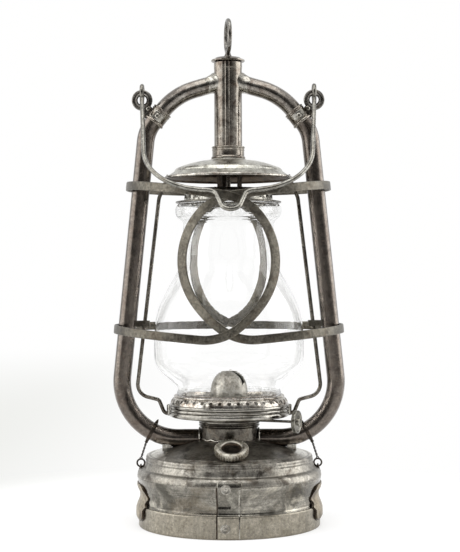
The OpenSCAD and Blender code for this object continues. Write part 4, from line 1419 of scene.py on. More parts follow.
    def ferrules(self, x: float, z: float, head: float) -> Thing:
        """Flared solder fillets where the arches enter the centre tube.

        Args:
            x: Where the left arch ends.
            z: Its height there.
            head: Its heading there in degrees.

        Returns:
            Both fillets as one piece.
        """
        r, tube = self.arch_r, self.centre_r
        outline = at(r, 0, (-0.3, -1.6), (1.7, -1.6), (1.75, -0.6), (1.5, 0.3), (0.95, 1.1),
                     (0.6, 2.0), (0.35, 3.2), (0.18, 4.8), (0.05, 6.2), (-0.3, 6.3))
        left = revolved("ferrule", outline, 56, soft=0.3,
                        place=frame_at((x, 0, z), self.heading(head + 180)),
                        shape=lambda a, q, h: 0.14 * math.sin(4 * a + h) - 0.1)
        for vertex in left.data.vertices:
            side = min(abs(vertex.co.y) / MM, tube)
            near = max(0.0, min(1.0, (vertex.co.x / MM + tube + 4.0) / 3.0))
            vertex.co.x += near * (tube - math.sqrt(tube ** 2 - side ** 2)) * MM
        return joined("arch_ferrule_rings", left, mirrored(left, "ferrule_right"))


@dataclass
class CentreTube(Assembly):
    """Centre tube with its lock seam."""

    radius: float = 9.6
    low_z: float = 249.5
    high_z: float = 318.0
    wall: float = 0.8
    seam_at: float = -0.6
    seam_half: float = 1.3
    proud: float = 0.3

    def build(self) -> None:
        """Makes and dresses the tube."""
        inner = self.radius - self.wall

        def seam(a: float, r: float, _z: float) -> float:
            """Raises the lock seam and presses the groove beside it.

            Args:
                a: Angle.
                r: Radius.
                _z: Height, not used.

            Returns:
                Change of the radius.
            """
            if r < self.radius - 0.4:
                return 0.0
            x = (a - math.radians(270)) * self.radius - self.seam_at
            rise = max(0.0, min(1.0, (self.seam_half - abs(x)) / 0.3 + 0.5))
            groove = math.exp(-((x - self.seam_half - 0.35) / 0.22) ** 2)
            return self.proud * rise - 0.22 * groove
        outline = [(inner, self.low_z), (self.radius, self.low_z),
                   *at(self.radius, self.high_z, (0, -5.0), (0.12, -4), (0.12, -0.3)),
                   (inner, self.high_z)]
        self.wear(revolved("centre_tube_seamed", outline, 288, shape=seam, soft=0.25),
                  self.finish.centre, Slot.TIN, "centre_tube")


@dataclass
class BailLoop(Assembly):
    """Bent wire bail: an eye at each end, sloping shoulders and a notch for a hook."""

    home: ClassVar[Body] = Body.BAIL
    wire: float = 1.5
    pivot_x: float = 59.3
    pivot_z: float = 297.2
    lean: float = 42.8
    eye: float = 4.6
    toe: float = 3.5
    slope: float = 5.0
    leg: float = 55.4
    shoulder: tuple[float, float] = (38.0, 56.5)
    sag_r: float = 50.0
    fillet: tuple[float, float] = (6.0, 67.0)
    notch_leg: float = 9.0
    notch_r: float = 6.6
    shift: float = 1.5

    def path(self) -> list[Vector]:
        """Wire line from one eye to the other, leaning to the front.

        Returns:
            The points.
        """
        sag = (self.sag_r, 90 - self.toe - self.slope - self.shoulder[1])
        start = (-self.pivot_x, -self.eye, self.toe - 90)
        first = [(self.leg, *self.shoulder), (0, *sag)]
        turn = self.fillet[1] + self.slope
        bend = (self.fillet[0], -self.fillet[1])
        free = -walk(start, [*first, (0, *bend), (self.notch_leg, self.notch_r, turn)])[-1][0]
        free /= math.cos(math.radians(self.slope))
        whole = [*first, (free + self.shift, *bend), (self.notch_leg, self.notch_r, 2 * turn),
                 (self.notch_leg, *bend), (free - self.shift, *sag), (0, *self.shoulder)]
        flat = walk(start, whole)
        last = (-self.eye - flat[-1][1]) / math.cos(math.radians(self.toe))
        up, lean = Vector((0, 0, self.pivot_z)), turned(-self.lean, "X")
        return [up + lean @ point for point in upright(walk(start, [*whole, (last, 0, 0)]))]

    def build(self) -> None:
        """Makes and dresses the bail."""
        wire = self.repeat.pipe("bail_wire_bend", self.path(), self.wire, 20)
        eyes = [revolved("bail_eye", wire_ring(self.eye, self.wire, 20), 48,
                         place=frame_at((side * self.pivot_x, 0, self.pivot_z), (1, 0, 0)))
                for side in (-1, 1)]
        self.wear(joined("bail_wire_loop", wire, *eyes), self.finish.bail, Slot.WIRE, "bail")


# ---- all that the top ring lifts ----


@dataclass
class LiftTop(Assembly):
    """Ring, cap disc, sleeve and hood, with a dark sheet of smoke stain and painted shade inside
    the hood.
    """

    home: ClassVar[Body] = Body.CAGE
    tube_top: float = 318.0
    ring_d: float = 25.0
    ring_wire: float = 1.5
    ring_turn: float = 7.0
    hood_top: float = 251.5
    hood_edge: float = 244.2
    brim_z: float = 238.2
    dome_r: float = 36.9
    brim_r: float = 44.6
    sleeve_r: float = 11.0

    def build(self) -> None:
        """Makes and dresses the pieces above the globe."""
        f = self.finish
        self.wear(self.ring(), f.ear, Slot.WIRE, "lift_ring")
        disc = at(0, self.tube_top + 0.3, (0, 0), (10.7, 0), (11.2, 0.05), (11.6, 0.45),
                  (11.55, 1.0), (11.1, 1.4), (10.2, 1.5), (9.4, 2.0), (8.6, 2.7), (6.2, 3.1),
                  (3.6, 3.35), (0, 3.4))
        self.wear(revolved("cap_disc_pressed", disc, 72), f.centre, Slot.TIN, "cap_disc")
        sleeve = at(self.sleeve_r, self.hood_top, (-0.8, 0), (0.55, 0), (0.75, 0.4), (0.7, 0.9),
                    (0.3, 1.3), (0.05, 1.8), (0, 5.2), (0.2, 5.6), (0.22, 6.0), (0, 6.4),
                    (0.05, 6.9), (0.4, 7.3), (0.45, 7.9), (0.1, 8.3), (-0.8, 8.3))
        self.wear(revolved("hood_sleeve_beaded", sleeve, 96, soft=0.2), f.centre, Slot.PALE,
                  "hood_sleeve")
        self.wear(revolved("hood_domed", band(self.hood_line(), 0.75), 128, soft=0.3,
                           shape=hand_beaten(0.16, 4.0)), f.hood, Slot.PALE, "hood")
        roll = revolved("hood_brim_roll",
                        at(0, self.brim_z, *wire_ring(self.brim_r - 0.95, 0.9, 14)), 160,
                        shape=lambda a, r, z: 0.12 * math.sin(9 * a + z)
                        + 0.08 * math.sin(23 * a) - 0.2)
        self.wear(roll, f.gallery, Slot.PALE)
        # Smoke stain and painted shade: a dark sheet just inside the hood and under its brim.
        shade_sheet = [(r - 0.9 if r > 20 else r, z - 0.95) for r, z in self.hood_line()[3:-1]]
        shade_sheet += at(self.brim_r, self.brim_z, (-2.4, 0.1), (-2.1, -0.6), (-1.5, -1.1),
                   (-0.8, -1.1))
        self.wear(revolved("hood_lining_soot", band(shade_sheet, 0.12), 96), f.lining, Slot.PALE)

    def ring(self) -> Thing:
        """Finger ring on its stud, turned a little.

        Returns:
            The piece.
        """
        place = Matrix.Translation((0, 0, self.tube_top + 17.8)) @ turned(self.ring_turn, "Z")
        wire = revolved("ring_wire", wire_ring(self.ring_d / 2 - self.ring_wire,
                        self.ring_wire, 20), 72, place=place @ turned(90, "Y"))
        foot = at(0, self.tube_top + 3.4, (0, 0), (3.1, 0), (2.9, 0.8), (2.2, 1.6), (1.95, 2.6),
                  (1.7, 3.6), (0, 3.6))
        return joined("lift_ring_wire", wire, revolved("ring_stud", foot, 32, soft=0.3))

    def hood_line(self) -> Line:
        """Outer side of the hood, from the sleeve to the brim.

        Returns:
            The points.
        """
        top, edge, d = self.hood_top, self.hood_edge, self.dome_r
        arc = [(13.4 + (d - 14.4) * t, top - 1.3 - (top - edge - 1.8) * t ** 1.7)
               for t in (k / 10 for k in range(1, 11))]
        return [(self.sleeve_r - 0.8, top), *at(0, top, (11.8, -0.15), (12.4, -0.8),
                (13.4, -1.3)), *arc,
                *at(d, edge, (-0.45, -0.1), (0.1, -0.7), (0.45, -1.6), (1.2, -2.2)),
                *at(self.brim_r, self.brim_z, (-3.6, 1.9), (-1.2, 0.7))]


@dataclass
class GlobeSet(Assembly):
    """Pierced crown, top plate, glass globe, lift wires and gallery."""

    home: ClassVar[Body] = Body.CAGE
    glass_z0: float = 88.8
    glass_z1: float = 220.8
    belly_r: float = 51.5
    belly_z: float = 121.0
    neck_r: float = 31.4
    bead_r: float = 36.6
    wall: float = 1.1
    crown_r: float = 31.0
    crown_h: float = 9.8
    crown_holes: int = 24
    wire: float = 1.3
    gallery_r: float = 41.4
    gallery_holes: int = 40
    ring_z0: float = 74.3
    ring_z1: float = 83.0

    def build(self) -> None:
        """Makes and dresses the pieces round the globe."""
        f, z = self.finish, self.glass_z1
        self.wear(self.globe(), f.glass, Slot.GLASS, "globe")
        self.wear(self.crown(), f.crown, Slot.PALE, "globe_crown")
        plate = [*at(0, z, (26, 0), (31.3, 0), (31.3, -1), (31.8, -1), (31.8, 0)),
                 *at(self.bead_r, z, (-1.0, 0), (-0.3, 0.1), (-0.1, 0.6), (-0.4, 1.1),
                     (-1.0, 1.2)),
                 *at(0, z, (33.5, 1.15), (32.6, 0.7), (31.8, 1.15), (26, 1.2))]
        self.wear(revolved("globe_plate_pressed", plate, 112, soft=0.15), f.edge, Slot.PALE,
                  "globe_plate")
        wire = walk((-37.6, 75.9, 180), [(4.2, 4, -68), (6, 3, 54), (6.5, 9, -82.7),
                                         (126.5, 12, -16), (15.5, 0, 0)], 5.0)
        self.pair(self.repeat.pipe("lift_wire_left_bend", upright(wire), self.wire, 20),
                  "lift_wire_right_bend", f.wire, Slot.WIRE, "lift_wire")
        self.wear(self.gallery_ring(), f.rim, Slot.PALE, "gallery_ring")
        self.wear(self.gallery_plate(), f.gallery, Slot.PALE, "gallery_plate")

    def bulge(self, r_end: float, z_end: float, power: float, count: int = 24) -> Line:
        """Belly line from its widest point to an end, which it leaves steeply.

        Args:
            r_end: Radius at the end.
            z_end: Height of the end.
            power: How late the line turns in.
            count: Number of steps.

        Returns:
            The line.
        """
        return [(r_end + (self.belly_r - r_end) * (0.5 + 0.5 * math.cos(math.pi
                 * (k / count) ** power)), self.belly_z + (z_end - self.belly_z) * k / count)
                for k in range(count + 1)]

    def globe(self) -> Thing:
        """Pear-shaped globe with a foot rim and a beaded mouth.

        Returns:
            The piece.
        """
        b, n = self.bead_r, self.neck_r
        line = [(35.7, self.glass_z0), (35.9, self.glass_z0 + 1.2),
                *self.bulge(35.3, 92.5, 1.75)[::-1], *self.bulge(n, 188, 1.5)[1:],
                *at(n, 0, (-0.1, 198.0), (0, 206.5), (0.5, 208.4), (2.0, 209.9)),
                *at(b, 0, (-1.5, 211.0), (-0.45, 212.5), (0, 214.6), (-0.05, 216.6),
                    (-0.5, 218.4), (-1.5, 219.9)), (b - 3.0, self.glass_z1)]
        return revolved("globe_blown", rounded(band(line, -self.wall), 0.3, 2), 128)

    def crown(self) -> Thing:
        """Pierced crown: a band with raised oval holes under a flat top.

        Returns:
            The piece.
        """
        low, r = self.glass_z1 + 1.2, self.crown_r
        row = self.repeat.pierced("crown_band", 6.0, (3.4 * (r - 0.4) / r, 2.7),
                                  self.crown_holes, r - 0.4, 0.25, (-0.16, 0.0), low)
        top = self.glass_z1 + self.crown_h
        outline = [*at(r, low, (-1.15, 5.9), (-1.35, 6.5)),
                   *at(r, top, (-2.0, -1.3), (-3.4, -0.3), (-5.0, 0), (-8.0, -0.15),
                       (-9.0, -0.6), (-10.0, -0.15), (-14.0, 0)),
                   (8.5, top), (8.5, top - 0.9),
                   *at(r, top, (-14.0, -0.9), (-9.0, -1.5), (-5.0, -0.9), (-3.0, -1.5)),
                   (r - 2.3, low + 5.9)]
        return joined("globe_crown_pierced", row, revolved("crown_top", outline, 96, soft=0.2))

    def gallery_ring(self) -> Thing:
        """Ring under the gallery with rolled beads and the lugs of the lift wires.

        Returns:
            The piece.
        """
        r, z = self.gallery_r, self.ring_z0
        outline: Line = [(r - 1.4, z)]
        for low, high, out in ((0.0, 3.7, 0.0), (3.7, 6.0, -0.15), (6.0, 8.7, -0.05)):
            for k in range(7):
                a = math.pi * k / 6
                outline.append((r + out - 0.95 + 0.95 * math.sin(a),
                                z + low + (high - low) * (0.5 - 0.5 * math.cos(a))))
        outline.append((r - 1.4, self.ring_z1))
        beads = revolved("gallery_beads", outline, 144, shape=hand_beaten(0.06, 7.0))
        lug = [(0, 0.3), (2.1, 0.3), (2.6, 0.8), (2.6, 7.4), (2.1, 8.0), (0, 8.0)]
        return joined("gallery_ring_beaded", beads, *(
            revolved("wire_lug", lug, 24, soft=0.3,
                     place=Matrix.Translation((side * (r - 0.9), 0, z))) for side in (-1, 1)))

    def gallery_plate(self) -> Thing:
        """Pressed gallery that seats the globe, with a row of air holes in its rim.

        Returns:
            The piece.
        """
        s = self.glass_z0
        outline = [(14.4, 86.2), (20, 86.1), (21, 85.7), (24, 85.7), (25, 86.1), (29.6, 86.2),
                   (30.8, 86.9), *at(0, s, (32.0, 0.6), (32.6, 1.0), (33.3, 0.8), (33.8, 0.05),
                   (36.6, 0), (36.6, -0.9), (32.7, -0.9)), (30.5, 85.3), (14.4, 85.3)]
        rim = self.repeat.pierced("gallery_rim", 5.4, (2.6, 2.0), self.gallery_holes,
                                  self.gallery_r - 0.9, 0.2, (-0.14, -96.0), self.ring_z1)
        lip = at(0, s - 0.55, *wire_ring(37.3, 0.75, 12, 0.6))
        return joined("gallery_plate_pierced", revolved("gallery_floor", outline, 128, soft=0.25),
                      rim, revolved("gallery_lip", lip, 128))


# ---- guards ----


@dataclass
class Guards(Assembly):
    """Flat hoops bent on leaning drums round the globe, with rounded edges."""

    left_r: float = 64.0
    right_r: float = 60.9
    width: float = 5.8
    thick: float = 1.3
    top: float = 232.3
    low: float = 134.7
    out_top: float = 70.4
    out_low: float = 79.1

    def build(self) -> None:
        """Makes and dresses both hoops."""
        other = self.hoop("guard_other", self.right_r)
        for node, hoop in (("guard_left", self.hoop("guard_hoop_left", self.left_r)),
                           ("guard_right", mirrored(other, "guard_hoop_right"))):
            self.wear(hoop, self.finish.guard, Slot.GUARD, node)
        bpy.data.objects.remove(other)

    def lean(self) -> float:
        """Run of the drum's axis for each millimetre down."""
        return (self.out_low - self.out_top) / (self.top - self.low)

    def drum_x(self, r: float, z: float) -> float:
        """Where the axis of the drum lies at a height."""
        return r + self.thick / 2 - self.out_top - (self.top - z) * self.lean()

    def section(self) -> Line:
        """Strip section as share of the half width and height over the middle, slightly bowed.

        Returns:
            The points.
        """
        half = self.thick / 2
        upper = [(-1.0, 0.2), (-0.985, 0.42), (-0.95, 0.56), (-0.88, 0.61), (-0.6, 0.66)]
        lower = [(1.0, -0.3), (0.97, -0.55), (0.88, -half)]
        return [*upper, (0.0, 0.69), *((-u, v) for u, v in upper[::-1]), *lower, (0.0, -half),
                *((-u, v) for u, v in lower[::-1])]

    def ring(self, r: float, station: Station, side: int) -> list[Vector]:
        """Section of the strip where its centre line stands at a station.

        Args:
            r: Radius of the drum.
            station: Place and heading.
            side: -1 for the front, 1 for the back.

        Returns:
            The section.
        """
        x, z, head = station
        found = []
        for share, over in self.section():
            u = share * self.width / 2
            px = x - u * math.sin(math.radians(head))
            pz = z + u * math.cos(math.radians(head))
            phi = math.acos(max(-1.0, min(1.0, (px - self.drum_x(r, pz)) / r)))
            rad = r + over * 0.93
            found.append(Vector((self.drum_x(r, pz) + rad * math.cos(phi),
                                 side * rad * math.sin(phi), pz)))
        return found

    def arm(self, r: float, z0: float, station: Station, count: int = 24) -> list[Station]:
        """Stations from the wrap beside the tube to the start of a loop.

        Args:
            r: Radius of the drum.
            z0: Height of the wrap.
            station: Start of the loop.
            count: Number of stations.

        Returns:
            The stations.
        """
        c = (station[0] - self.drum_x(r, station[1])) / r
        end, lean = math.acos(c), math.degrees(math.atan(self.lean()))
        found = []
        for k in range(count):
            phi = math.pi - (math.pi - end) * k / count
            z = z0 + (station[1] - z0) * (1 + math.cos(phi)) / (1 + c)
            found.append((self.drum_x(r, z) + r * math.cos(phi), z, lean * math.cos(phi)))
        return found

    def half(self, r: float, start: Station, steps: list[Station],
             side: int) -> list[list[Vector]]:
        """Sections of the front or back half of a hoop.

        Args:
            r: Radius of the drum.
            start: First station of the loop.
            steps: Straights and bends of the loop.
            side: -1 for the front, 1 for the back.

        Returns:
            The sections.
        """
        loop = walk(start, steps)
        low = [(x, z, 180.0 + turn) for x, z, turn in self.arm(r, self.low, loop[-1])[::-1]]
        return [self.ring(r, s, side) for s in [*self.arm(r, self.top, loop[0]), *loop, *low]]

    def hoop(self, name: str, r: float) -> Thing:
        """Closed hoop: front half, then the back half the other way.

        Args:
            name: Name of the hoop.
            r: Radius of its drum.

        Returns:
            The hoop.
        """
        deep = self.top - self.low - 35
        front = self.half(r, (-2.8, 223, -8), [(0, 36, -42), (0, 47, -75), (0, 75, -18),
                          (0, 36, -42)], -1)
        back = self.half(r, (-11.9, self.top, 0), [(0, 35, -60), (0, deep, -60), (0, 35, -60)], 1)
        return swept(name, [*front, *back[::-1][1:-1]], True, 50)


# ---- burner ----


@dataclass
class Burner(Assembly):
    """Air chamber with its solder, dome, wick and the wheel that raises it."""

    chamber_r: float = 20.2
    chamber_z0: float = 52.4
    chamber_z1: float = 70.4
    run_z: float = 59.0
    dome_r: float = 12.8
    dome_z0: float = 84.0
    spring_z: float = 92.0
    dome_z1: float = 105.4
    dome_sheet: float = 0.9
    slot: tuple[float, float] = (11.5, 3.2)
    shaft: tuple[float, float] = (-4.4, 72.4)
    shaft_turn: float = 24.0
    knob_x: float = 51.5
    knob_r: float = 7.75
    knob_w: float = 2.6
    knob_teeth: int = 44

    def build(self) -> None:
        """Makes and dresses the pieces of the burner."""
        f, r = self.finish, self.chamber_r
        cup = [*at(r, self.chamber_z1, (-1, 0)), (r - 1, self.chamber_z0 + 1),
               (0, self.chamber_z0 + 1), (0, self.chamber_z0),
               *at(r, self.chamber_z0, (-0.6, 0), (0, 0.6)),
               *at(r, self.chamber_z1, (0, -3.4), (0.35, -2.9), (0.75, -2.5), (0.8, -1.9),
                   (0.3, -1.5), (0.35, -1.2), (0.8, -0.8), (0.8, -0.3), (0.4, 0))]
        self.wear(revolved("burner_chamber_cup", cup, 96, shape=hand_beaten(0.07, 5.0), soft=0.2),
                  f.chamber, Slot.TUBE, "burner_chamber")
        self.wear(self.solder(), f.solder, Slot.TIN)
        self.wear(self.dome(), f.dome, Slot.TIN, "burner_dome")
        self.wear(self.knob(), f.knob, Slot.PALE, "wick_knob", body=Body.WICK_DRIVE)
        self.wear(self.wick(), f.cotton, Slot.COTTON, "wick", body=Body.WICK)

    def solder(self) -> Thing:
        """Beads of solder where the air tubes enter the chamber, and a run at its foot.

        Returns:
            The piece.
        """
        r = self.chamber_r
        rings = [revolved("solder_ring", wire_ring(6.35, 0.95, 10, 0.9), 40,
                          place=frame_at((side * r, 0, self.run_z), (side, 0, 0)),
                          shape=lambda a, r, z: 0.28 * math.sin(5 * a + 1.3)
                          + 0.18 * math.sin(11 * a)) for side in (-1, 1)]
        run = [Vector((r * math.sin(math.radians(a)), -r * math.cos(math.radians(a)),
                       58.9 + 0.4 * math.sin(a * 0.3))) for a in range(-62, -9, 4)]
        return joined("chamber_solder", *rings, self.repeat.pipe("solder_run", run, 0.8, 10))

    def across(self, x: float, y: float) -> tuple[float, float]:
        """Place along the wick and through it."""
        c, s = math.cos(math.radians(self.shaft_turn)), math.sin(math.radians(self.shaft_turn))
        return x * c - y * s, x * s + y * c

    def dome(self) -> Thing:
        """Domed burner cap with the slot of the flame and a pressed foot.

        Returns:
            The piece.
        """
        r, rise, thick = self.dome_r, self.dome_z1 - self.spring_z, self.dome_sheet
        bm = bmesh.new()
        turns, levels = 96, 26
        skins = []
        for inset in (0.0, thick):
            rings = []
            for j in range(levels + 1):
                a = math.radians(90 * j / levels)
                ring = []
                for k in range(turns):
                    t, radius = math.tau * k / turns, (r - inset) * math.cos(a)
                    x, y = radius * math.cos(t), radius * math.sin(t)
                    u, v = self.across(x, y)
                    lift = 0.35 * max(0.0, 1 - abs(math.hypot(u, v + 7.9) - 3.3) / 0.6)
                    z = self.spring_z + (rise - inset) * math.sin(a) + (0 if inset else lift)
                    ring.append(bm.verts.new((x, y, z)))
                rings.append(ring)
            skins.append(rings)
        outer, inner = skins

        def is_open(j: int, k: int) -> bool:
            """Whether the slot cuts a facet of the dome.

            Args:
                j: Level of the facet.
                k: Its place round the dome.

            Returns:
                Whether it is cut away.
            """
            a, t = math.radians(90 * (j + 0.5) / levels), math.tau * (k + 0.5) / turns
            u, v = self.across(r * math.cos(a) * math.cos(t), r * math.cos(a) * math.sin(t))
            return abs(v) < self.slot[1] and abs(u) < self.slot[0] and a > math.radians(22)

        for j in range(levels):
            for k in range(turns):
                if is_open(j, k):
                    continue
                n = (k + 1) % turns
                left, top_left, right, top_right = (j, k), (j + 1, k), (j, n), (j + 1, n)
                for skin in skins:
                    bm.faces.new([skin[a][b] for a, b in (left, right, top_right, top_left)])
                for beside, one, two in (((j, k - 1), left, top_left), ((j, n), right, top_right),
                                         ((j - 1, k), left, right),
                                         ((j + 1, k), top_left, top_right)):
                    if 0 <= beside[0] < levels and is_open(*beside):
                        bm.faces.new((outer[one[0]][one[1]], outer[two[0]][two[1]],
                                      inner[two[0]][two[1]], inner[one[0]][one[1]]))
        foot = [(r - thick, self.spring_z), *at(r, self.dome_z0, (-thick, 0), (0.5, 0),
                (0.6, 1.2), (0, 1.8)), (r, self.spring_z)]
        return joined("burner_dome_slotted", finished("dome_shell", bm, 60),
                      revolved("dome_foot", foot, 96, soft=0.2))

    def knob(self) -> Thing:
        """Wheel with a dished face, a hub and a knurled rim, on the shaft's axis.

        Returns:
            The piece.
        """
        r, w = self.knob_r - 0.3, self.knob_w
        place = turned(-self.shaft_turn, "Z") @ Matrix.Translation((0, *self.shaft))
        place = place @ turned(90, "Y") @ Matrix.Translation((0, 0, self.knob_x - w / 2))
        outline = [(0.9, -1.2), (2.6, -1.2), (2.6, 0.4),
                   *at(r, 0, (-1.6, 0.4), (-1.0, 0), (-0.2, 0), (0, 0.2)),
                   *at(r, w, (0, -0.2), (-0.2, 0), (-1.0, 0), (-1.6, -0.4)),
                   *at(0, w, (2.6, -0.4), (2.4, 1.1), (1.2, 1.2), (0, 1.2)), (0, w / 2),
                   (0.9, w / 2)]
        wheel = revolved("knob_wheel", outline, 80, place=place, soft=0.2)
        return joined("wick_knob_knurled", wheel, self.repeat.circle(
            "knob_rim", ridge("knob_tooth", 0.42, 0.3, w - 0.3), self.knob_teeth, r - 0.05, place,
            w / 2))

    def wick(self) -> Thing:
        """Flat woven wick with a ragged top.

        Returns:
            The piece.
        """
        turn = turned(-self.shaft_turn, "Z")
        rings = []
        for k, z in enumerate((8.0, 30.0, 60.0, 86.0, 92.0, 93.0)):
            half, deep = (9.0, 1.1) if k < 5 else (8.7, 0.8)
            ring = [(-half, -deep), (half, -deep), (half, deep), (-half, deep)]
            rings.append([turn @ Vector((x, y, z)) for x, y in rounded(ring, 0.5)])
        return swept("wick_woven", rings)


# ---- filler cap and ties ----


@dataclass
class FillerCap(Assembly):
    """Screwed cap with a ribbed rim and a deep round recess, whose floor is darkened with painted
    shade.
    """

    home: ClassVar[Body] = Body.CAP
    top: tuple[float, float, float] = (1.5, -44.5, 57.9)
    tilt: float = 26.0
    radius: float = 11.4
    height: float = 4.2
    recess: float = 7.3
    neck: float = 9.0
    ribs: int = 36

    def build(self) -> None:
        """Makes and dresses the cap."""
        place = Matrix.Translation(self.top) @ turned(self.tilt, "X")
        r, h, q = self.radius - 0.75, self.height, self.recess
        outline = [(0, -1.7), *at(q, 0, (-1.6, -1.7), (-0.9, -1.4), (-0.5, -0.8), (-0.1, -0.25),
                   (0.6, 0), (1.4, -0.05)),
                   *at(r, 0, (-0.9, -0.45), (-0.25, -0.95), (0, -1.6)),
                   *at(r, -h, (0, 0.3), (-0.3, 0)), (self.neck + 0.3, -h),
                   (self.neck + 0.3, -2.6), (0, -2.6)]
        body = revolved("cap_body", outline, 120, place=place, soft=0.2)
        rim = self.repeat.circle("cap_rim", ridge("cap_rib", 0.55, 0.75, h - 0.7), self.ribs,
                                 r - 0.03, place, -h / 2 - 0.25)
        self.wear(joined("filler_cap_ribbed", body, rim), self.finish.knurl, Slot.PALE,
                  "filler_cap")
        # Painted shade: a dark sheet over the floor of the recess.
        shade_sheet = band([(0.0, -1.6), *at(q, 0, (-1.65, -1.6), (-1.0, -1.3), (-0.6, -0.75))], 0.1)
        self.wear(revolved("cap_recess_soot", shade_sheet, 72, place=place), self.finish.rust_wire,
                  Slot.PALE)


@dataclass
class Ties(Assembly):
    """Rusted clips, twisted wires and rings that hold the tubes down."""

    centre: tuple[float, float] = (-34.7, 98.0)
    bend: float = 39.0
    angle: float = 28.5
    tube: float = 6.15
    ring: tuple[float, float] = (-61.0, 42.0)
    ring_r: float = 2.6
    twists: float = 2.6

    def build(self) -> None:
        """Makes and dresses the ties of both sides."""
        rust = self.finish.rust_wire
        self.pair(self.clip(), "tie_clip_bent_right", rust, Slot.WIRE, "tie_clip")
        self.pair(self.twisted(), "tie_wire_twisted_right", rust, Slot.WIRE, "tie_wire")
        rings = self.rings()
        self.wear(joined("tie_rings_open", rings, mirrored(rings, "tie_rings_other")), rust,
                  Slot.WIRE, "tie_rings", "tie_staples")

    def spot(self, reach: float, shift: float = 0.0) -> Vector:
        """Point at a reach from the centre of the bend, shifted along the tube.

        Args:
            reach: Distance from the centre.
            shift: Distance along the tube.

        Returns:
            The point.
        """
        c, s = math.cos(math.radians(self.angle)), math.sin(math.radians(self.angle))
        return Vector((self.centre[0] - reach * s + shift * c, 0,
                       self.centre[1] - reach * c - shift * s))

    def clip(self) -> Thing:
        """Strap round the tube, pinched to a fin inside and outside the bend.

        Returns:
            The piece.
        """
        r, middle = self.tube + 0.15, self.spot(self.bend)
        section = [(r, -1.2), (r + 0.7, -1.2), (r + 0.75, 0), (r + 0.7, 1.2), (r, 1.2)]
        pieces = [revolved("clip_strap", section, 56, soft=0.15,
                           place=frame_at(middle, self.spot(self.bend, 1) - middle))]
        for sign in (-1, 1):
            near, far = self.bend + sign * (r + 0.3), self.bend + sign * (r + 2.9)
            for gap in (-0.35, 0.35):
                pieces.append(swept("clip_fin", [
                    [self.spot(reach, s * wide) + Vector((0, gap + d, 0))
                     for s, d in ((-1, -0.25), (1, -0.25), (1, 0.25), (-1, 0.25))]
                    for reach, wide in ((near, 1.2), ((near + far) / 2, 0.8), (far, 0.35))]))
        return joined("tie_clip_bent_left", *pieces)

    def twisted(self) -> Thing:
        """Two strands twisted from the clip down to the ring, with loose ends.

        Returns:
            The piece.
        """
        top = self.spot(self.bend + self.tube + 2.0)
        run = Vector((self.ring[0], 0, self.ring[1] + self.ring_r + 0.2)) - top
        across = Vector((run.z, 0, -run.x)).normalized()
        pieces = []
        for phase in (0.0, math.pi):
            path = []
            for t in (k / 56 for k in range(57)):
                a = phase + t * math.tau * self.twists
                wide = 0.42 + 0.5 * max(0.0, 1 - t * 8) + 0.5 * max(0.0, t * 8 - 7)
                path.append(top + run * t + across * math.cos(a) * wide
                            + Vector((0, math.sin(a) * wide, 0)))
            pieces.append(self.repeat.pipe("tie_strand", path, 0.36, 10))
        return joined("tie_wire_twisted_left", *pieces)

    def rings(self) -> Thing:
        """Open ring under the wire, its staple in the tank top and a bent tail.

        Returns:
            The piece.
        """
        pipe, (x, z), r = self.repeat.pipe, self.ring, self.ring_r
        ring = [Vector((x + r * math.sin(a), 0.35 * math.cos(a / 2), z + r * math.cos(a)))
                for a in (math.tau * k / 40 for k in range(43))]
        staple = [Vector((x, 1.9 * math.cos(a), z - 3.1 + 1.9 * math.sin(a)))
                  for a in (math.pi * (-0.35 + 1.7 * k / 24) for k in range(25))]
        tail = [Vector((x - out, y, z - down)) for out, y, down in (
            (0.4, 0.3, 2.4), (0.9, -0.7, 4.2), (1.6, -1.0, 6.0), (1.7, -0.6, 7.2))]
        return joined("tie_rings_near", pipe("tie_ring", ring, 0.6, 12),
                      pipe("tie_staple", staple, 0.55, 12), pipe("tie_tail", tail, 0.45, 10))


# ---- studio ----


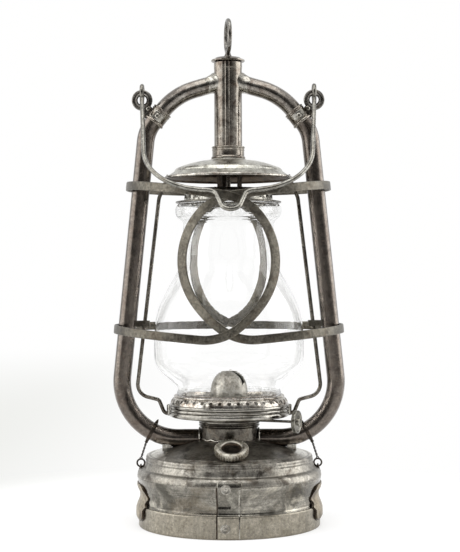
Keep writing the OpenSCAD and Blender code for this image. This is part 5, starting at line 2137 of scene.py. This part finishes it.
@dataclass
class Studio:
    """Pale floor, soft light and the camera; lengths in metres."""

    eye: tuple[float, float, float] = (0.0009, -0.959, 0.1706)
    roll: float = -0.2
    lens: float = 60.43
    reach: float = 6.0
    white: Colour = (1.0, 1.0, 0.997)
    floor_tone: float = 0.9
    front_dark: float = 0.1
    key_power: float = 5.0
    fill_power: float = 4.0

    def build(self) -> None:
        """Sets the camera, floor, lamps and world."""
        self.camera()
        self.floor()
        self.lamps()
        self.world()

    def camera(self) -> None:
        """Adds a level camera that looks along +Y."""
        data = bpy.data.cameras.new("camera")
        data.sensor_fit = "VERTICAL"
        data.sensor_height = 24.0
        data.lens = self.lens
        data.clip_start = 0.05
        made = linked("camera", data)
        made.location = self.eye
        made.rotation_euler = (turned(90, "X") @ turned(self.roll, "Z")).to_euler()
        bpy.context.scene.camera = made

    def seen(self, t: Tree) -> Socket:
        """Whether the camera sees it, straight or through glass."""
        path = t.add("ShaderNodeLightPath").outputs
        return t.math("MAXIMUM", path["Is Camera Ray"], path["Is Transmission Ray"])

    def floor(self) -> None:
        """Adds the floor, which fades to the white background away from the lantern, with a painted
        shadow at its left near the lantern.
        """
        data = bpy.data.meshes.new("floor")
        data.from_pydata([(x * self.reach, y * self.reach, 0)
                          for x, y in ((-1, -1), (1, -1), (1, 1), (-1, 1))], [], [(0, 1, 2, 3)])
        made, t = material("pale_floor")
        place = t.place()
        away = t.add("ShaderNodeVectorMath", {0: place}, operation="LENGTH").outputs["Value"]
        # Painted shadow: the glow turns grey left of the lantern and fades with distance.
        painted_shadow_left = t.mul(t.ramp(t.axes(place)["X"], -0.02, -0.3), t.ramp(away, 2.5, 0.4))
        glow = t.out("ShaderNodeEmission", {"Color": t.mix(painted_shadow_left, self.white, (0.86, 0.865, 0.84)),
                     "Strength": 1.0})
        matt = t.out("ShaderNodeBsdfDiffuse", {"Color": (self.floor_tone,) * 3})
        seen = self.seen(t)
        share = t.math("MAXIMUM", t.mul(seen, t.ramp(away, 0.09, 0.3)), t.mul(seen, 0.45))
        both = t.out("ShaderNodeMixShader", {0: share, 1: matt, 2: glow})
        t.add("ShaderNodeOutputMaterial", {"Surface": both})
        data.materials.append(made)
        linked("floor", data)

    def lamps(self) -> None:
        """Adds soft boxes at the left, the right and above, turned to the lantern's axis."""
        for name, place, height, size, power in (
                ("left_box", (-0.75, -0.15, 0.45), 0.2, 0.9, self.key_power),
                ("right_box", (0.8, 0.1, 0.4), 0.2, 0.7, self.fill_power),
                ("top_box", (0.0, -0.25, 0.95), 0.1, 0.8, self.fill_power)):
            data = bpy.data.lights.new(name, "AREA")
            data.size = size
            data.energy = power
            box = linked(name, data)
            box.location = place
            way = Vector((0, 0, height)) - Vector(place)
            box.rotation_euler = way.to_track_quat("-Z", "Y").to_euler()
            box.visible_camera = False

    def world(self) -> None:
        """Surrounds the lantern with white that is darker in front, where the room is open."""
        world = bpy.data.worlds.new("tent")
        world.use_nodes = True
        t = Tree(world.node_tree)
        axes = t.axes(t.add("ShaderNodeTexCoord").outputs["Generated"])
        level = t.math("MAXIMUM", t.ramp(axes["Y"], -0.92, -0.15),
                       t.ramp(axes["Z"], 0.25, 0.85))
        tone = t.mix(self.seen(t), t.span(level, self.front_dark, 0.95), self.white)
        sky = t.out("ShaderNodeBackground", {"Color": tone, "Strength": 1.0})
        t.add("ShaderNodeOutputWorld", {"Surface": sky})
        bpy.context.scene.world = world
        bpy.context.scene.view_settings.view_transform = "Standard"


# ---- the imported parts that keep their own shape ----


def dress_parts(frame: dict[str, Any], finish: SimpleNamespace) -> None:
    """Args:
        finish: The finishes.
    """
    for made, names in (
            (finish.tin, "tank_wall seam_strap tank_bottom filler_neck wick_tube rod_guide "
                         "lift_yoke"),
            (finish.tank_top, "tank_top burner_body burner_chamber"),
            (finish.band, "base_band gallery_ring"),
            (finish.plate, "side_plate_left side_plate_right"),
            (finish.tube, "side_tube_left side_tube_right arch_tube_left arch_tube_right "
                          "tube_collar_left tube_collar_right"),
            (finish.centre, "centre_tube cap_disc hood_sleeve lift_ring arch_ferrules "
                            "bail_ear_left bail_ear_right"),
            (finish.guard, "guard_left guard_right guard_pads wire_guide_left "
                           "wire_guide_right"),
            (finish.wire, "lift_wire_left lift_wire_right lift_rod wick_shaft wick_sprockets"),
            (finish.rust_wire, "tie_wire_left tie_wire_right tie_rings tie_staples "
                               "tie_clip_left tie_clip_right crown_posts"),
            (finish.bail, "bail"),
            (finish.hood, "hood"),
            (finish.crown, "globe_crown globe_plate"),
            (finish.gallery, "gallery_plate"),
            (finish.dome, "burner_dome seam_rivets collar_rivets"),
            (finish.knurl, "wick_knob filler_cap"),
            (finish.solder, "tube_saddles"),
            (finish.glass, "globe"),
            (finish.cotton, "wick"),
            (finish.cork, "cap_seal")):
        for name in names.split():
            slots = frame["nodes"][name].data.materials
            slots.clear()
            slots.append(made)
            LOG.info("%s: %s", name, made.name)


def sides(corners: tuple[Vector, Vector]) -> list[list[float]]:
    """Box corners as plain lists."""
    return [list(corners[0]), list(corners[1])]


def main() -> None:
    """Builds and dresses the lantern."""
    logging.basicConfig(level=logging.INFO, format="%(message)s")
    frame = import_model()
    Studio().build()
    finish = palette()
    repeat = Repeater()
    dress_parts(frame, finish)
    for part in (FuelTank, AirTubes, CentreTube, BailLoop, LiftTop, GlobeSet, Guards, Burner,
                 FillerCap, Ties):
        part(finish, repeat).build()


if __name__ == "__main__":
    main()
